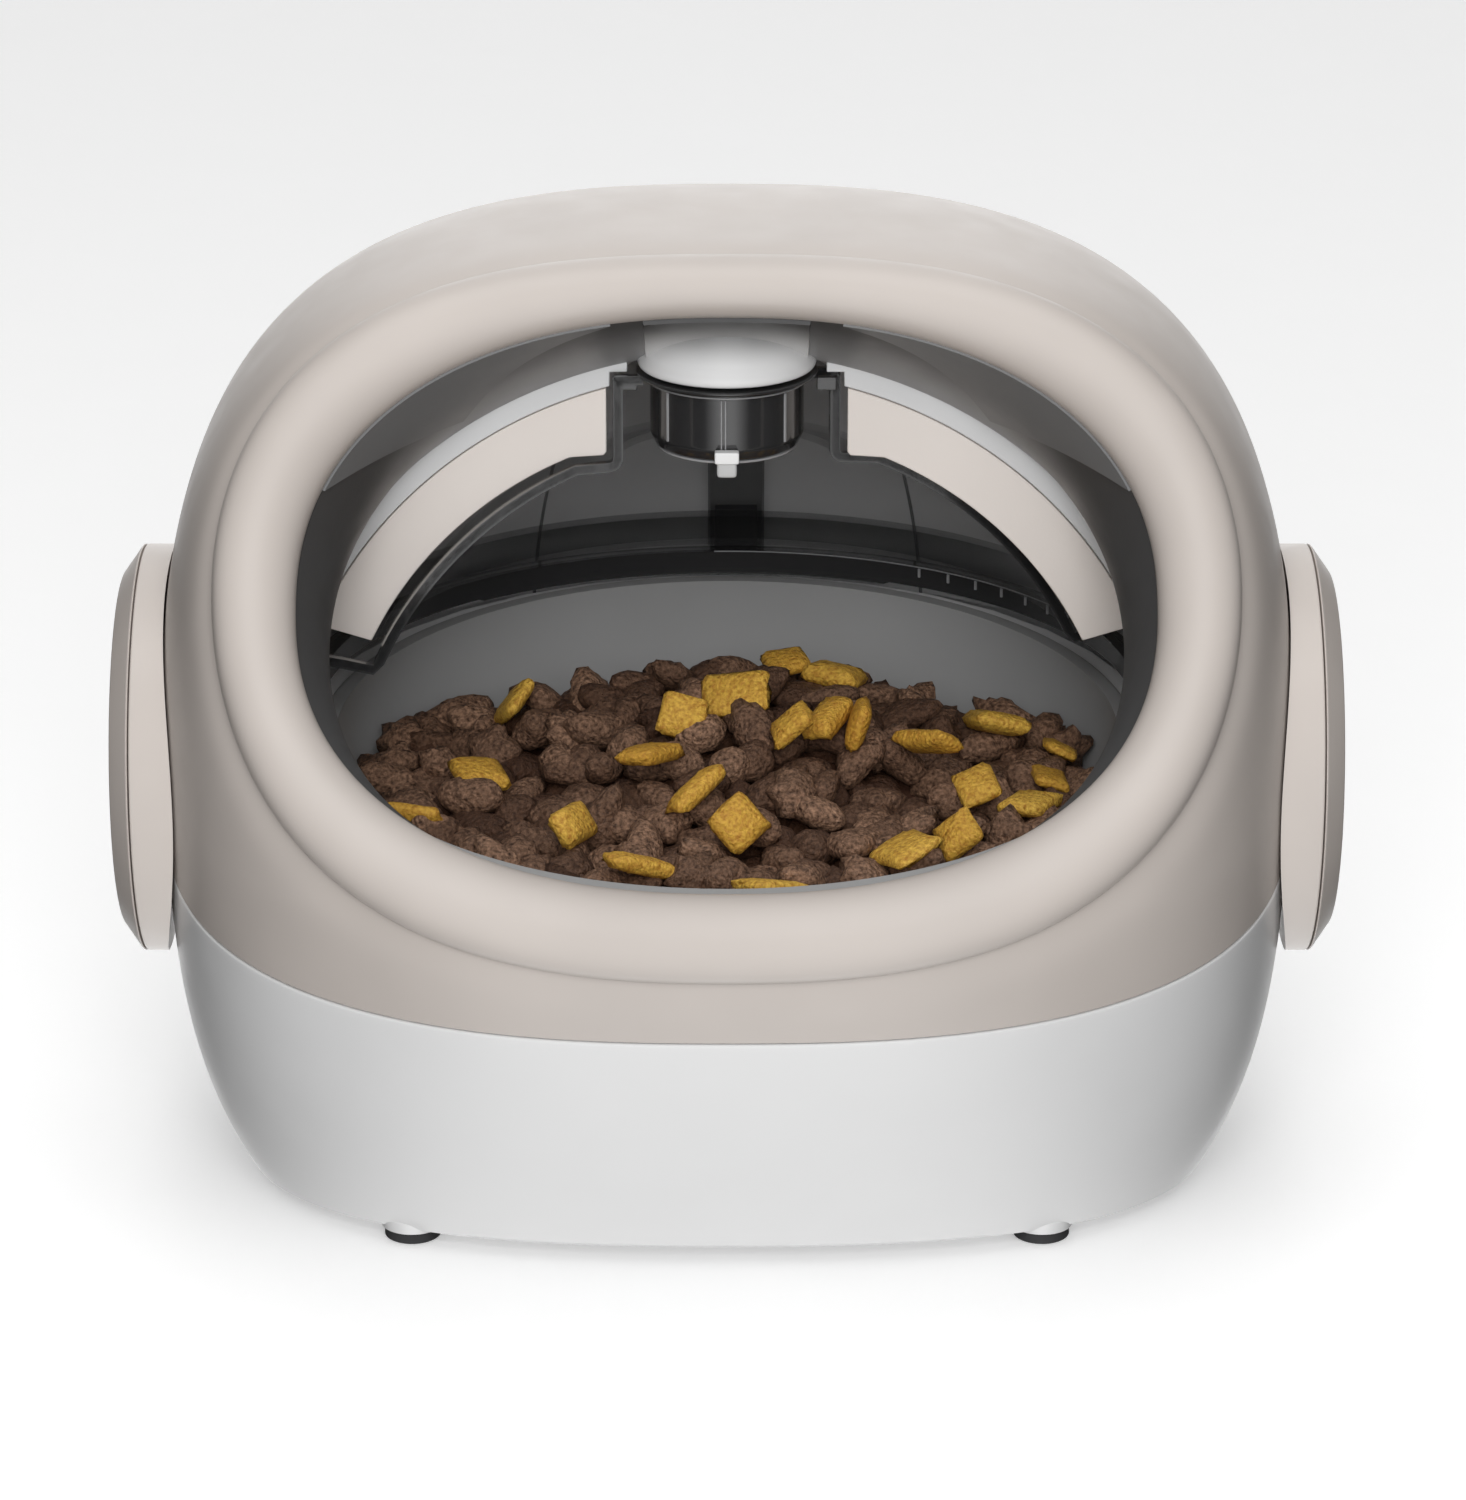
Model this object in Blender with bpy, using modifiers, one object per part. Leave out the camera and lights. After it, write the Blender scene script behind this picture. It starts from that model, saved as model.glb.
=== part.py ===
"""Automatic pet feeder with a turning shutter: a helmet-shaped cover on a white base, a bowl inside.

Metres, +Z up, front towards -Y. The origin is on the floor, under the middle of the whole object.
The shutter turns about the hub axis, which is the vertical line through the origin.
"""

import math

import bmesh
import bpy
import numpy as np

# Body: one smooth form, cut by a sloping seam into the white base and the cover
HALF_WIDTH = 0.1500
HALF_DEPTH = 0.1362
MIDDLE_Y = 0.0005
WAIST_Z = 0.1148
FLOOR_GAP = 0.0045
ABOVE_WAIST = 0.1463
BELOW_WAIST = 0.1665
ABOVE_WIDTH_POWER = 2.99
ABOVE_DEPTH_POWER = 2.93
BELOW_WIDTH_POWER = 2.81
BELOW_DEPTH_POWER = 1.44
PLAN_POWER = 2.53
SEAM_Z = 0.1043
SEAM_SLOPE = 0.16
WALL = 0.0028
GAP = 0.0003

# Front opening: a rounded loop on a plane that leans back, its sides swept a little backwards
LEAN = math.radians(31.7)
OPENING_MIDDLE = np.array([0.0, -0.0766, 0.1838])
OPENING_HALF_WIDTH = 0.1290
OPENING_HALF_HEIGHT = 0.0945
OPENING_POWER = 2.3
SIDE_SWEEP = 0.0055
RIM_WIDTH = 0.0190
RIM_HEIGHT = 0.0092

# Ears: round discs on both sides
EAR_Z = 0.1164
EAR_RADIUS = 0.0547
EAR_FACE_RADIUS = 0.0473
EAR_FACE_X = 0.1615
EAR_CHAMFER = 0.0056

# Inner dome, arch and shutter, all round one centre on the hub axis
DOME_Z = 0.1015
DOME_RADIUS = 0.1286
DOME_FOOT_Z = 0.1210
LINER_WALL = 0.0016
TUNNEL_MIDDLE = np.array([0.0, -0.0400, 0.1600])
TRIM_RADIUS = 0.1275
ARCH_RADIUS = 0.1201
ARCH_INNER = 0.1053
ARCH_THICKNESS = 0.0024
ARCH_HUB_X = 0.0318
SHUTTER_RADIUS = 0.1038
SKIRT_RADIUS = 0.1185
SHUTTER_WALL = 0.0018
SHUTTER_SWEEP = math.radians(180.0)
SHUTTER_TURN = math.radians(8.0)
RING_FOOT_Z = 0.1294
RING_TOP_Z = 0.1353

# Hub, from the cup up to the drive
CUP_RADIUS = 0.0203
CUP_FOOT_Z = 0.2020
CUP_TOP_Z = 0.2228
HOUSING_RADIUS = 0.0236
AXLE_RADIUS = 0.0040
AXLE_HOLE = 0.00409
MODULE = 0.0015
HUB_TEETH = 36
PINION_TEETH = 8
GEAR_Z = 0.2473
GEAR_THICKNESS = 0.0035
PINION_Y = (HUB_TEETH + PINION_TEETH) * MODULE / 2 + 0.0002

# Bowl, leaning forward a little in its well
BOWL_RADIUS = 0.1100
BOWL_DEPTH = 0.0500
BOWL_WALL = 0.0024
BOWL_LIP_Z = 0.1225
BOWL_LEAN = math.radians(2.87)
WELL_GAP = 0.0020

# Base fittings
FOOT_X = 0.0837
FOOT_Y = 0.0590
FOOT_RADIUS = 0.0076
BOTTOM_HALF_WIDTH = 0.1268
BOTTOM_HALF_DEPTH = 0.0742
PLATE_TOP = 0.0069
SCREW_X = 0.0990
SCREW_Y = 0.0300
SCREW_RADIUS = 0.0015
SCREW_HEAD_RADIUS = 0.0032
SCREW_TOP = 0.0150
DOOR_HALF_WIDTH = 0.0590
DOOR_HALF_DEPTH = 0.0300
POST_RADIUS = 0.0050
POSTS = ((-0.0640, 0.0120, 0.0620), (0.0640, 0.0120, 0.0620), (0.0, -0.0460, 0.0600))
CELL_RADIUS = 0.0131
CELL_LENGTH = 0.0490
BUTTON_Z = 0.1000
BUTTON_X = 0.0140
BUTTON_RADIUS = 0.0050
INLET = (0.0400, 0.0880)

AROUND = 40

for old in list(bpy.data.objects):
    bpy.data.objects.remove(old, do_unlink=True)

feeder = bpy.data.collections.new("pet_feeder")
cutters = bpy.data.collections.new("cutters")
bpy.context.scene.collection.children.link(feeder)
bpy.context.scene.collection.children.link(cutters)


# ---------------------------------------------------------------- materials

def finish(name, colour, roughness, metallic=0.0, alpha=1.0):
    """A Principled material with one colour, roughness and metallic value."""
    material = bpy.data.materials.new(name)
    material.use_nodes = True
    shader = material.node_tree.nodes["Principled BSDF"]
    shader.inputs["Base Color"].default_value = (*colour, 1.0)
    shader.inputs["Roughness"].default_value = roughness
    shader.inputs["Metallic"].default_value = metallic
    shader.inputs["Alpha"].default_value = alpha
    material.diffuse_color = (*colour, alpha)
    return material


GREIGE = finish("greige_plastic", (0.62, 0.56, 0.52), 0.45)
WHITE = finish("white_plastic", (0.85, 0.86, 0.87), 0.35)
LINER_GREY = finish("liner_grey", (0.10, 0.10, 0.10), 0.5)
TRIM_GREY = finish("trim_grey", (0.55, 0.56, 0.57), 0.5)
SMOKE = finish("smoked_clear", (0.02, 0.02, 0.02), 0.1, alpha=0.45)
BOWL_GREY = finish("bowl_grey", (0.16, 0.16, 0.16), 0.5)
RUBBER = finish("foot_rubber", (0.04, 0.04, 0.04), 0.8)
STEEL = finish("steel", (0.6, 0.6, 0.6), 0.35, metallic=1.0)
BLACK = finish("black_plastic", (0.03, 0.03, 0.03), 0.5)
ACETAL = finish("gear_acetal", (0.8, 0.8, 0.76), 0.4)
BOARD_GREEN = finish("board_green", (0.02, 0.18, 0.08), 0.5)
COPPER = finish("copper_wire", (0.7, 0.32, 0.15), 0.35, metallic=1.0)
CELL_BLUE = finish("cell_sleeve", (0.08, 0.14, 0.3), 0.4)
LENS = finish("lens_clear", (0.5, 0.9, 0.6), 0.15)


# ---------------------------------------------------------------- shaping tools

def put(obj, material, collection=feeder):
    """Moves a new object to its collection and gives it its material."""
    for user in list(obj.users_collection):
        user.objects.unlink(obj)
    collection.objects.link(obj)
    obj.data.materials.clear()
    obj.data.materials.append(material)
    return obj


def mesh_object(name, points, faces, material, collection=feeder):
    """A mesh object from points and faces."""
    mesh = bpy.data.meshes.new(name)
    mesh.from_pydata([tuple(map(float, p)) for p in points], [], faces)
    mesh.validate()
    mesh.shade_smooth()
    return put(bpy.data.objects.new(name, mesh), material, collection)


def face_outwards(obj):
    """Turns every face of a closed mesh to point out of it."""
    shape = bmesh.new()
    shape.from_mesh(obj.data)
    bmesh.ops.recalc_face_normals(shape, faces=shape.faces)
    shape.to_mesh(obj.data)
    shape.free()


def grid_faces(rows, columns, ring):
    """Quads of a grid of points; with ring, the last column joins the first."""
    last = columns if ring else columns - 1
    faces = []
    for row in range(rows - 1):
        for column in range(last):
            after = (column + 1) % columns
            first = row * columns
            second = first + columns
            faces.append((first + column, first + after, second + after, second + column))
    return faces


def sheet(name, grid, material, thickness, outwards_from, ring=True, offset=-1.0):
    """An open curved sheet, its faces turned away from a point, thickened by Solidify."""
    rows, columns = grid.shape[:2]
    points = grid.reshape(-1, 3)
    faces = grid_faces(rows, columns, ring)
    corners = points[np.array(faces)]
    normals = np.cross(corners[:, 2] - corners[:, 0], corners[:, 3] - corners[:, 1])
    away = ((corners.mean(axis=1) - outwards_from) * normals).sum()
    if away < 0:
        faces = [face[::-1] for face in faces]
    obj = mesh_object(name, points, faces, material)
    wall = obj.modifiers.new("wall", "SOLIDIFY")
    wall.thickness = thickness
    wall.offset = offset
    return obj


def loft(name, grid, material, collection=feeder):
    """A solid through rings of points, each end closed by one flat face."""
    rows, columns = grid.shape[:2]
    faces = grid_faces(rows, columns, True)
    faces.append(tuple(range(columns)))
    faces.append(tuple(range((rows - 1) * columns, rows * columns)))
    obj = mesh_object(name, grid.reshape(-1, 3), faces, material, collection)
    face_outwards(obj)
    return obj


def turned(name, profile, material, around=32, sweep=2 * math.pi, start=0.0, wall=0.0):
    """A profile of (radius, height) points, down its outer side, turned about the Z axis.

    Without a wall the profile is closed, and so is the shape; with one it is an open sheet, thickened.
    """
    count = len(profile)
    edges = [(i, i + 1) for i in range(count - 1)]
    if wall == 0.0:
        edges.append((count - 1, 0))
    mesh = bpy.data.meshes.new(name)
    mesh.from_pydata([(r * math.cos(start), r * math.sin(start), z) for r, z in profile], edges, [])
    obj = put(bpy.data.objects.new(name, mesh), material)
    screw = obj.modifiers.new("turn", "SCREW")
    screw.angle = sweep
    screw.steps = around
    screw.render_steps = around
    screw.use_merge_vertices = True
    screw.merge_threshold = 0.00001
    screw.use_smooth_shade = True
    if wall:
        thick = obj.modifiers.new("wall", "SOLIDIFY")
        thick.thickness = wall
        thick.offset = -1.0
    return obj


def round_bar(name, radius, start, end, material, sides=24, collection=feeder):
    """A cylinder between two points that differ along one axis only."""
    start = np.array(start)
    end = np.array(end)
    run = end - start
    axis = int(np.argmax(np.abs(run)))
    turn = {0: (0.0, math.pi / 2, 0.0), 1: (math.pi / 2, 0.0, 0.0), 2: (0.0, 0.0, 0.0)}[axis]
    bpy.ops.mesh.primitive_cylinder_add(
        vertices=sides,
        radius=radius,
        depth=float(np.abs(run[axis])),
        location=tuple((start + end) / 2),
        rotation=turn,
    )
    obj = bpy.context.object
    obj.name = name
    return put(obj, material, collection)


def block(name, low, high, material, bevel=0.0, collection=feeder):
    """A box from its lowest to its highest corner, with bevelled edges."""
    low = np.array(low)
    high = np.array(high)
    bpy.ops.mesh.primitive_cube_add(size=1.0, location=tuple((low + high) / 2))
    obj = bpy.context.object
    obj.name = name
    for vertex in obj.data.vertices:
        vertex.co = [vertex.co[i] * (high - low)[i] for i in range(3)]
    put(obj, material, collection)
    if bevel:
        edge = obj.modifiers.new("edges", "BEVEL")
        edge.width = bevel
        edge.segments = 1
    return obj


def slab(name, outline, y_front, thickness, material):
    """A flat outline of (x, z) points, as thick as stated, its front face at y_front."""
    front = [(x, y_front, z) for x, z in outline]
    back = [(x, y_front + thickness, z) for x, z in outline]
    grid = np.array([front, back])
    return loft(name, grid, material)


def cut(obj, name, cutter):
    """Takes a cutter's shape out of an object."""
    cutter.hide_render = True
    cutter.display_type = "WIRE"
    taken = obj.modifiers.new(name, "BOOLEAN")
    taken.operation = "DIFFERENCE"
    taken.object = cutter


# ---------------------------------------------------------------- the body's form

def signed_power(values, power):
    """Each value's size raised to a power, keeping its sign."""
    return np.sign(values) * np.abs(values) ** power


def shares(z):
    """The body's width and depth at height z, as shares of the widest."""
    above = np.clip((z - WAIST_Z) / ABOVE_WAIST, 0.0, None)
    below = np.clip((WAIST_Z - z) / BELOW_WAIST, 0.0, None)
    wide = np.where(
        z > WAIST_Z,
        np.clip(1 - above**ABOVE_WIDTH_POWER, 1e-9, 1.0) ** (1 / ABOVE_WIDTH_POWER),
        np.clip(1 - below**BELOW_WIDTH_POWER, 1e-9, 1.0) ** (1 / BELOW_WIDTH_POWER),
    )
    deep = np.where(
        z > WAIST_Z,
        np.clip(1 - above**ABOVE_DEPTH_POWER, 1e-9, 1.0) ** (1 / ABOVE_DEPTH_POWER),
        np.clip(1 - below**BELOW_DEPTH_POWER, 1e-9, 1.0) ** (1 / BELOW_DEPTH_POWER),
    )
    return wide, deep


def fullness(points):
    """Under 1 inside the body, 1 on its surface, over 1 outside."""
    wide, deep = shares(points[..., 2])
    across = np.abs(points[..., 0]) / (HALF_WIDTH * wide)
    along = np.abs(points[..., 1] - MIDDLE_Y) / (HALF_DEPTH * deep)
    return across**PLAN_POWER + along**PLAN_POWER


def on_body(centre, aims):
    """Where rays from a centre inside the body, through the aims, leave it."""
    directions = aims - centre
    directions = directions / np.linalg.norm(directions, axis=-1, keepdims=True)
    near = np.zeros(directions.shape[:-1])
    far = np.full(directions.shape[:-1], 0.4)
    for _ in range(44):
        middle = (near + far) / 2
        outside = fullness(centre + directions * middle[..., None]) > 1
        far = np.where(outside, middle, far)
        near = np.where(outside, near, middle)
    return centre + directions * near[..., None]


def ring_angles(count=AROUND):
    return np.linspace(-math.pi / 2, 1.5 * math.pi, count, endpoint=False)


def seam_loop(angles, lift):
    """The body's outline where the sloping seam plane cuts it, the plane raised by lift."""
    centre = np.array([0.0, MIDDLE_Y, SEAM_Z + SEAM_SLOPE * MIDDLE_Y + lift])
    x = HALF_WIDTH * signed_power(np.cos(angles), 2 / PLAN_POWER)
    y = HALF_DEPTH * signed_power(np.sin(angles), 2 / PLAN_POWER)
    return on_body(centre, centre + np.stack([x, y, SEAM_SLOPE * y], axis=-1))


def bottom_loop(angles, z, inset=0.0):
    """The body's outline at height z, drawn in by inset."""
    wide, deep = shares(np.array(z))
    x = (HALF_WIDTH * wide - inset) * signed_power(np.cos(angles), 2 / PLAN_POWER)
    y = MIDDLE_Y + (HALF_DEPTH * deep - inset) * signed_power(np.sin(angles), 2 / PLAN_POWER)
    return np.stack([x, y, np.full_like(x, z)], axis=-1)


FORWARD = np.array([0.0, -math.cos(LEAN), math.sin(LEAN)])
UPWARD = np.array([0.0, math.sin(LEAN), math.cos(LEAN)])


def opening_loop(angles, inset=0.0, back=0.0):
    """The front opening's loop, drawn in by inset and moved back from its leaning plane."""
    x = (OPENING_HALF_WIDTH - inset) * signed_power(np.cos(angles), 2 / OPENING_POWER)
    u = (OPENING_HALF_HEIGHT - inset) * signed_power(np.sin(angles), 2 / OPENING_POWER)
    depth = back + SIDE_SWEEP * np.cos(angles) ** 2
    across = np.stack([x, np.zeros_like(x), np.zeros_like(x)], axis=-1)
    return OPENING_MIDDLE + across + u[:, None] * UPWARD - depth[:, None] * FORWARD


BODY_CENTRE = np.array([0.0, 0.0, 0.1150])


def blend_directions(first, second, rows):
    """Rows of aims that swing from one loop to another, as seen from the body's centre."""
    a = (first - BODY_CENTRE) / np.linalg.norm(first - BODY_CENTRE, axis=-1, keepdims=True)
    b = (second - BODY_CENTRE) / np.linalg.norm(second - BODY_CENTRE, axis=-1, keepdims=True)
    shares_of_way = np.linspace(0.0, 1.0, rows)[:, None, None]
    return BODY_CENTRE + a[None] * (1 - shares_of_way) + b[None] * shares_of_way


# ---------------------------------------------------------------- cover

def make_upper_shell():
    angles = ring_angles()
    seam = seam_loop(angles, 0.00025)
    opening = on_body(BODY_CENTRE, opening_loop(angles))
    grid = on_body(BODY_CENTRE, blend_directions(seam, opening, 9))
    grid[0] = seam
    return sheet("upper_shell", grid, GREIGE, WALL, BODY_CENTRE)


def rim_edges(angles):
    """The rim's outer edge, on the body's surface, and its inner edge."""
    outer = on_body(BODY_CENTRE, opening_loop(angles, inset=0.0007))
    inner = opening_loop(angles, inset=RIM_WIDTH + 0.0007)
    return outer, inner


def make_front_rim():
    """A bead with a half-oval front and a flat back, carried round the opening."""
    outer, inner = rim_edges(ring_angles())
    turns = np.linspace(0.0, math.pi, 9)
    middle = (outer + inner) / 2
    half = (outer - inner) / 2
    rows = [middle + half * math.cos(t) + FORWARD * RIM_HEIGHT * math.sin(t) for t in turns]
    points = np.array(rows).reshape(-1, 3)
    faces = grid_faces(len(turns), AROUND, True)
    last = (len(turns) - 1) * AROUND
    for column in range(AROUND):
        after = (column + 1) % AROUND
        faces.append((last + column, last + after, after, column))
    rim = mesh_object("front_rim", points, faces, GREIGE)
    face_outwards(rim)
    return rim


def make_ear(side, name):
    """A disc whose inner face follows the body, and a chamfered cap over it."""
    angles = np.linspace(0.0, 2 * math.pi, 40, endpoint=False)
    split_x = EAR_FACE_X - EAR_CHAMFER

    def row(radius, x):
        y = radius * np.cos(angles)
        z = EAR_Z + radius * np.sin(angles)
        return np.stack([np.full_like(y, side * x) if np.isscalar(x) else side * x, y, z], axis=-1)

    def inner_x(radius):
        y = radius * np.cos(angles)
        z = EAR_Z + radius * np.sin(angles)
        wide, deep = shares(np.maximum(z, WAIST_Z))
        along = np.abs(y - MIDDLE_Y) / (HALF_DEPTH * deep)
        return HALF_WIDTH * wide * (1 - along**PLAN_POWER) ** (1 / PLAN_POWER) + 0.0006

    radii = [0.2 * EAR_RADIUS, 0.5 * EAR_RADIUS, 0.8 * EAR_RADIUS, EAR_RADIUS]
    rows = [row(radius, inner_x(radius)) for radius in radii]
    rows.append(row(EAR_RADIUS, split_x - GAP))
    loft(name, np.array(rows), GREIGE)
    cap = [row(EAR_RADIUS, split_x), row(EAR_FACE_RADIUS, EAR_FACE_X)]
    loft(name + "_cap", np.array(cap), GREIGE)


def make_tunnel_liner():
    """The wall from the rim's inner edge back to the arch, open below, where the bowl is."""
    share = np.linspace(0.0, 1.0, 33)
    front_angles = np.radians(-80.0 + 340.0 * share)
    front = opening_loop(front_angles, inset=RIM_WIDTH + 0.0006, back=0.0009)
    foot = math.asin((DOME_FOOT_Z - DOME_Z) / DOME_RADIUS)
    back_angles = foot + (math.pi - 2 * foot) * share
    back = np.stack(
        [
            DOME_RADIUS * np.cos(back_angles),
            np.full_like(share, -0.0018),
            DOME_Z + DOME_RADIUS * np.sin(back_angles),
        ],
        axis=-1,
    )
    low_ends = np.exp(-((share / 0.09) ** 2)) + np.exp(-(((1 - share) / 0.09) ** 2))
    rows = []
    for way in np.linspace(0.0, 1.0, 7):
        row = front * (1 - way) + back * way
        radial = row * np.array([1.0, 1.0, 0.0])
        radial = radial / np.maximum(np.linalg.norm(radial, axis=-1, keepdims=True), 1e-6)
        bulge = 4 * way * (1 - way) * 0.027 * low_ends
        rows.append(row + radial * bulge[:, None])
    liner = sheet(
        "tunnel_liner",
        np.array(rows),
        LINER_GREY,
        LINER_WALL,
        TUNNEL_MIDDLE,
        ring=False,
        offset=1.0,
    )
    notch = round_bar(
        "housing_notch", HOUSING_RADIUS + 0.0006, (0, 0, 0.215), (0, 0, 0.252), BLACK, 32, cutters
    )
    cut(liner, "housing_notch", notch)


def make_dome_liner():
    """The rear half of a round dome behind the shutter."""
    foot = math.asin((DOME_FOOT_Z - DOME_Z) / DOME_RADIUS)
    top = math.acos((HOUSING_RADIUS + 0.0008) / DOME_RADIUS)
    bends = np.linspace(top, foot, 9)
    profile = [
        (
            (DOME_RADIUS + LINER_WALL) * math.cos(a),
            DOME_Z + (DOME_RADIUS + LINER_WALL) * math.sin(a),
        )
        for a in bends
    ]
    turned("dome_liner", profile, LINER_GREY, around=18, sweep=math.pi, wall=LINER_WALL)


def arc_points(radius, first, last, count):
    """Points (x, z) of an arc round the dome's centre."""
    return [
        (radius * math.cos(a), DOME_Z + radius * math.sin(a)) for a in np.linspace(first, last, count)
    ]


def make_arch(side, name):
    """One arm of the flat arch, and the pale trim ring outside it."""
    hub_x = ARCH_HUB_X
    low_inner = math.radians(25.1)
    low_outer = math.radians(24.3)
    step_x = 0.0415
    outline = arc_points(ARCH_INNER, low_inner, math.acos(step_x / ARCH_INNER), 14)
    outline.append((hub_x, DOME_Z + math.sqrt(ARCH_INNER**2 - step_x**2) + 0.0006))
    outline += arc_points(ARCH_RADIUS, math.acos(hub_x / ARCH_RADIUS), low_outer, 14)
    outline = [(side * x, z) for x, z in outline]
    slab(name, outline, -ARCH_THICKNESS / 2, ARCH_THICKNESS, GREIGE)
    foot = math.asin((DOME_FOOT_Z - DOME_Z) / TRIM_RADIUS)
    sleeve_x = 0.0308
    sleeve_top = 0.2218
    housing_x = 0.0262
    ring = arc_points(ARCH_RADIUS + GAP, foot, math.acos(sleeve_x / ARCH_RADIUS), 18)
    ring += [(sleeve_x, sleeve_top), (housing_x, sleeve_top)]
    ring += arc_points(TRIM_RADIUS, math.acos(housing_x / TRIM_RADIUS), foot, 18)
    ring = [(side * x, z) for x, z in ring]
    slab(name.replace("arch", "arch_trim"), ring, -ARCH_THICKNESS / 2, ARCH_THICKNESS, TRIM_GREY)


def make_rear_post():
    """A curved post up the middle of the dome, and a sensor box at its foot."""
    low = math.asin((0.1312 - DOME_Z) / 0.1225)
    high = math.radians(56.0)
    for name, inner, outer, half, first, last, material in (
        ("rear_post", 0.1222, 0.1274, 0.0080, low, high, SMOKE),
        ("position_sensor", 0.1198, 0.1219, 0.0060, low, math.radians(22.5), BLACK),
    ):
        strip = arc_points(inner, first, last, 9) + arc_points(outer, last, first, 9)
        grid = np.array([[(x, r, z) for r, z in strip] for x in (0.0025 - half, 0.0025 + half)])
        loft(name, grid, material)


def make_hub_housing():
    """The white boss that comes down from the roof and carries the axle."""
    foot = CUP_TOP_Z + 0.0008
    profile = [
        (AXLE_HOLE, 0.2462),
        (0.0215, 0.2462),
        (0.0212, 0.2330),
        (0.0218, 0.2280),
        (HOUSING_RADIUS, foot + 0.0020),
        (HOUSING_RADIUS - 0.0006, foot + 0.0006),
        (HOUSING_RADIUS - 0.0020, foot),
        (AXLE_HOLE, foot),
    ]
    turned("hub_housing", profile, WHITE, around=24)


def make_antenna_coil():
    """A wound loop just behind the rim, which reads the tag on the collar."""
    outer, inner = rim_edges(ring_angles(40))
    points = outer * 0.7 + inner * 0.3 - FORWARD * 0.0024
    curve = bpy.data.curves.new("antenna_coil", "CURVE")
    curve.dimensions = "3D"
    curve.bevel_depth = 0.0013
    curve.bevel_resolution = 1
    spline = curve.splines.new("POLY")
    spline.points.add(len(points) - 1)
    for place, point in zip(spline.points, points):
        place.co = (*map(float, point), 1.0)
    spline.use_cyclic_u = True
    put(bpy.data.objects.new("antenna_coil", curve), COPPER)


def make_drive():
    """The motor behind the hub, in a cradle on the dome."""
    round_bar("drive_motor", 0.0100, (0, PINION_Y, 0.2322), (0, PINION_Y, 0.2460), STEEL)
    section = [(0.0102, 0.2390), (0.0135, 0.2390), (0.0135, 0.2340), (0.0102, 0.2340)]
    cradle = turned_sector("motor_cradle", section, BLACK, 20, math.radians(-35.0), math.radians(250.0))
    cradle.location = (0.0, PINION_Y, 0.0)


def make_cover():
    make_upper_shell()
    make_front_rim()
    make_ear(-1, "ear_left")
    make_ear(1, "ear_right")
    make_tunnel_liner()
    make_dome_liner()
    make_arch(-1, "arch_left")
    make_arch(1, "arch_right")
    make_rear_post()
    make_hub_housing()
    make_antenna_coil()
    make_drive()
    block("cover_contact", (-0.0100, 0.1304, 0.1275), (0.0100, 0.1322, 0.1370), BLACK, 0.0004)


# ---------------------------------------------------------------- shutter

def make_gear(name, teeth, turn, bore):
    """A flat gear with straight-sided teeth, and a round bore where bore is over 0."""
    pitch = teeth * MODULE / 2
    outline = []
    for tooth in range(teeth):
        middle = turn + 2 * math.pi * tooth / teeth
        step = 2 * math.pi / teeth
        for radius, share in (
            (pitch - 1.20 * MODULE, -0.25),
            (pitch + 0.85 * MODULE, -0.10),
            (pitch + 0.85 * MODULE, 0.10),
            (pitch - 1.20 * MODULE, 0.25),
        ):
            angle = middle + share * step
            outline.append((radius * math.cos(angle), radius * math.sin(angle)))
    curve = bpy.data.curves.new(name, "CURVE")
    curve.dimensions = "2D"
    curve.fill_mode = "BOTH"
    curve.extrude = GEAR_THICKNESS / 2
    loops = [outline]
    if bore:
        sides = 24
        loops.append(
            [
                (bore * math.cos(2 * math.pi * i / sides), bore * math.sin(2 * math.pi * i / sides))
                for i in range(sides)
            ]
        )
    for loop in loops:
        spline = curve.splines.new("POLY")
        spline.points.add(len(loop) - 1)
        for place, (x, y) in zip(spline.points, loop):
            place.co = (x, y, 0.0, 1.0)
        spline.use_cyclic_u = True
    gear = put(bpy.data.objects.new(name, curve), ACETAL)
    gear.location = (0.0, 0.0, GEAR_Z + GEAR_THICKNESS / 2)
    return gear


def make_shutter():
    """A half dome that turns about the hub: sleeve, shoulder, dome, step and skirt."""
    shoulder_r = 0.0405
    shoulder_z = DOME_Z + math.sqrt(SHUTTER_RADIUS**2 - shoulder_r**2)
    step_z = 0.1440
    step_r = math.sqrt(SHUTTER_RADIUS**2 - (step_z - DOME_Z) ** 2)
    skirt_top = 0.1476
    profile = [(0.0220, 0.2212), (0.0300, 0.2212), (0.0300, 0.2070), (0.0303, shoulder_z + 0.0006)]
    first = math.asin((shoulder_z - DOME_Z) / SHUTTER_RADIUS)
    last = math.asin((step_z - DOME_Z) / SHUTTER_RADIUS)
    for angle in np.linspace(first, last, 8):
        profile.append((SHUTTER_RADIUS * math.cos(angle), DOME_Z + SHUTTER_RADIUS * math.sin(angle)))
    profile.append(((step_r + 0.1085) / 2, 0.1458))
    for z in np.linspace(skirt_top, RING_TOP_Z + 3 * GAP, 3):
        profile.append((math.sqrt(SKIRT_RADIUS**2 - (z - DOME_Z) ** 2), z))
    turned(
        "shutter",
        [(float(r), float(z)) for r, z in profile],
        SMOKE,
        around=20,
        sweep=SHUTTER_SWEEP,
        start=SHUTTER_TURN,
        wall=SHUTTER_WALL,
    )
    ring = [(0.1142, RING_TOP_Z), (0.1142, RING_FOOT_Z), (0.1090, RING_FOOT_Z), (0.1090, RING_TOP_Z)]
    turned_sector("shutter_ring", ring, SMOKE, 30, SHUTTER_TURN, SHUTTER_SWEEP)


def turned_sector(name, section, material, steps, start, sweep):
    """A closed section swept round part of a turn, with flat ends."""
    angles = start + np.linspace(0.0, sweep, steps + 1)
    grid = np.array([[(r * math.cos(a), r * math.sin(a), z) for r, z in section] for a in angles])
    return loft(name, grid, material)


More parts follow.
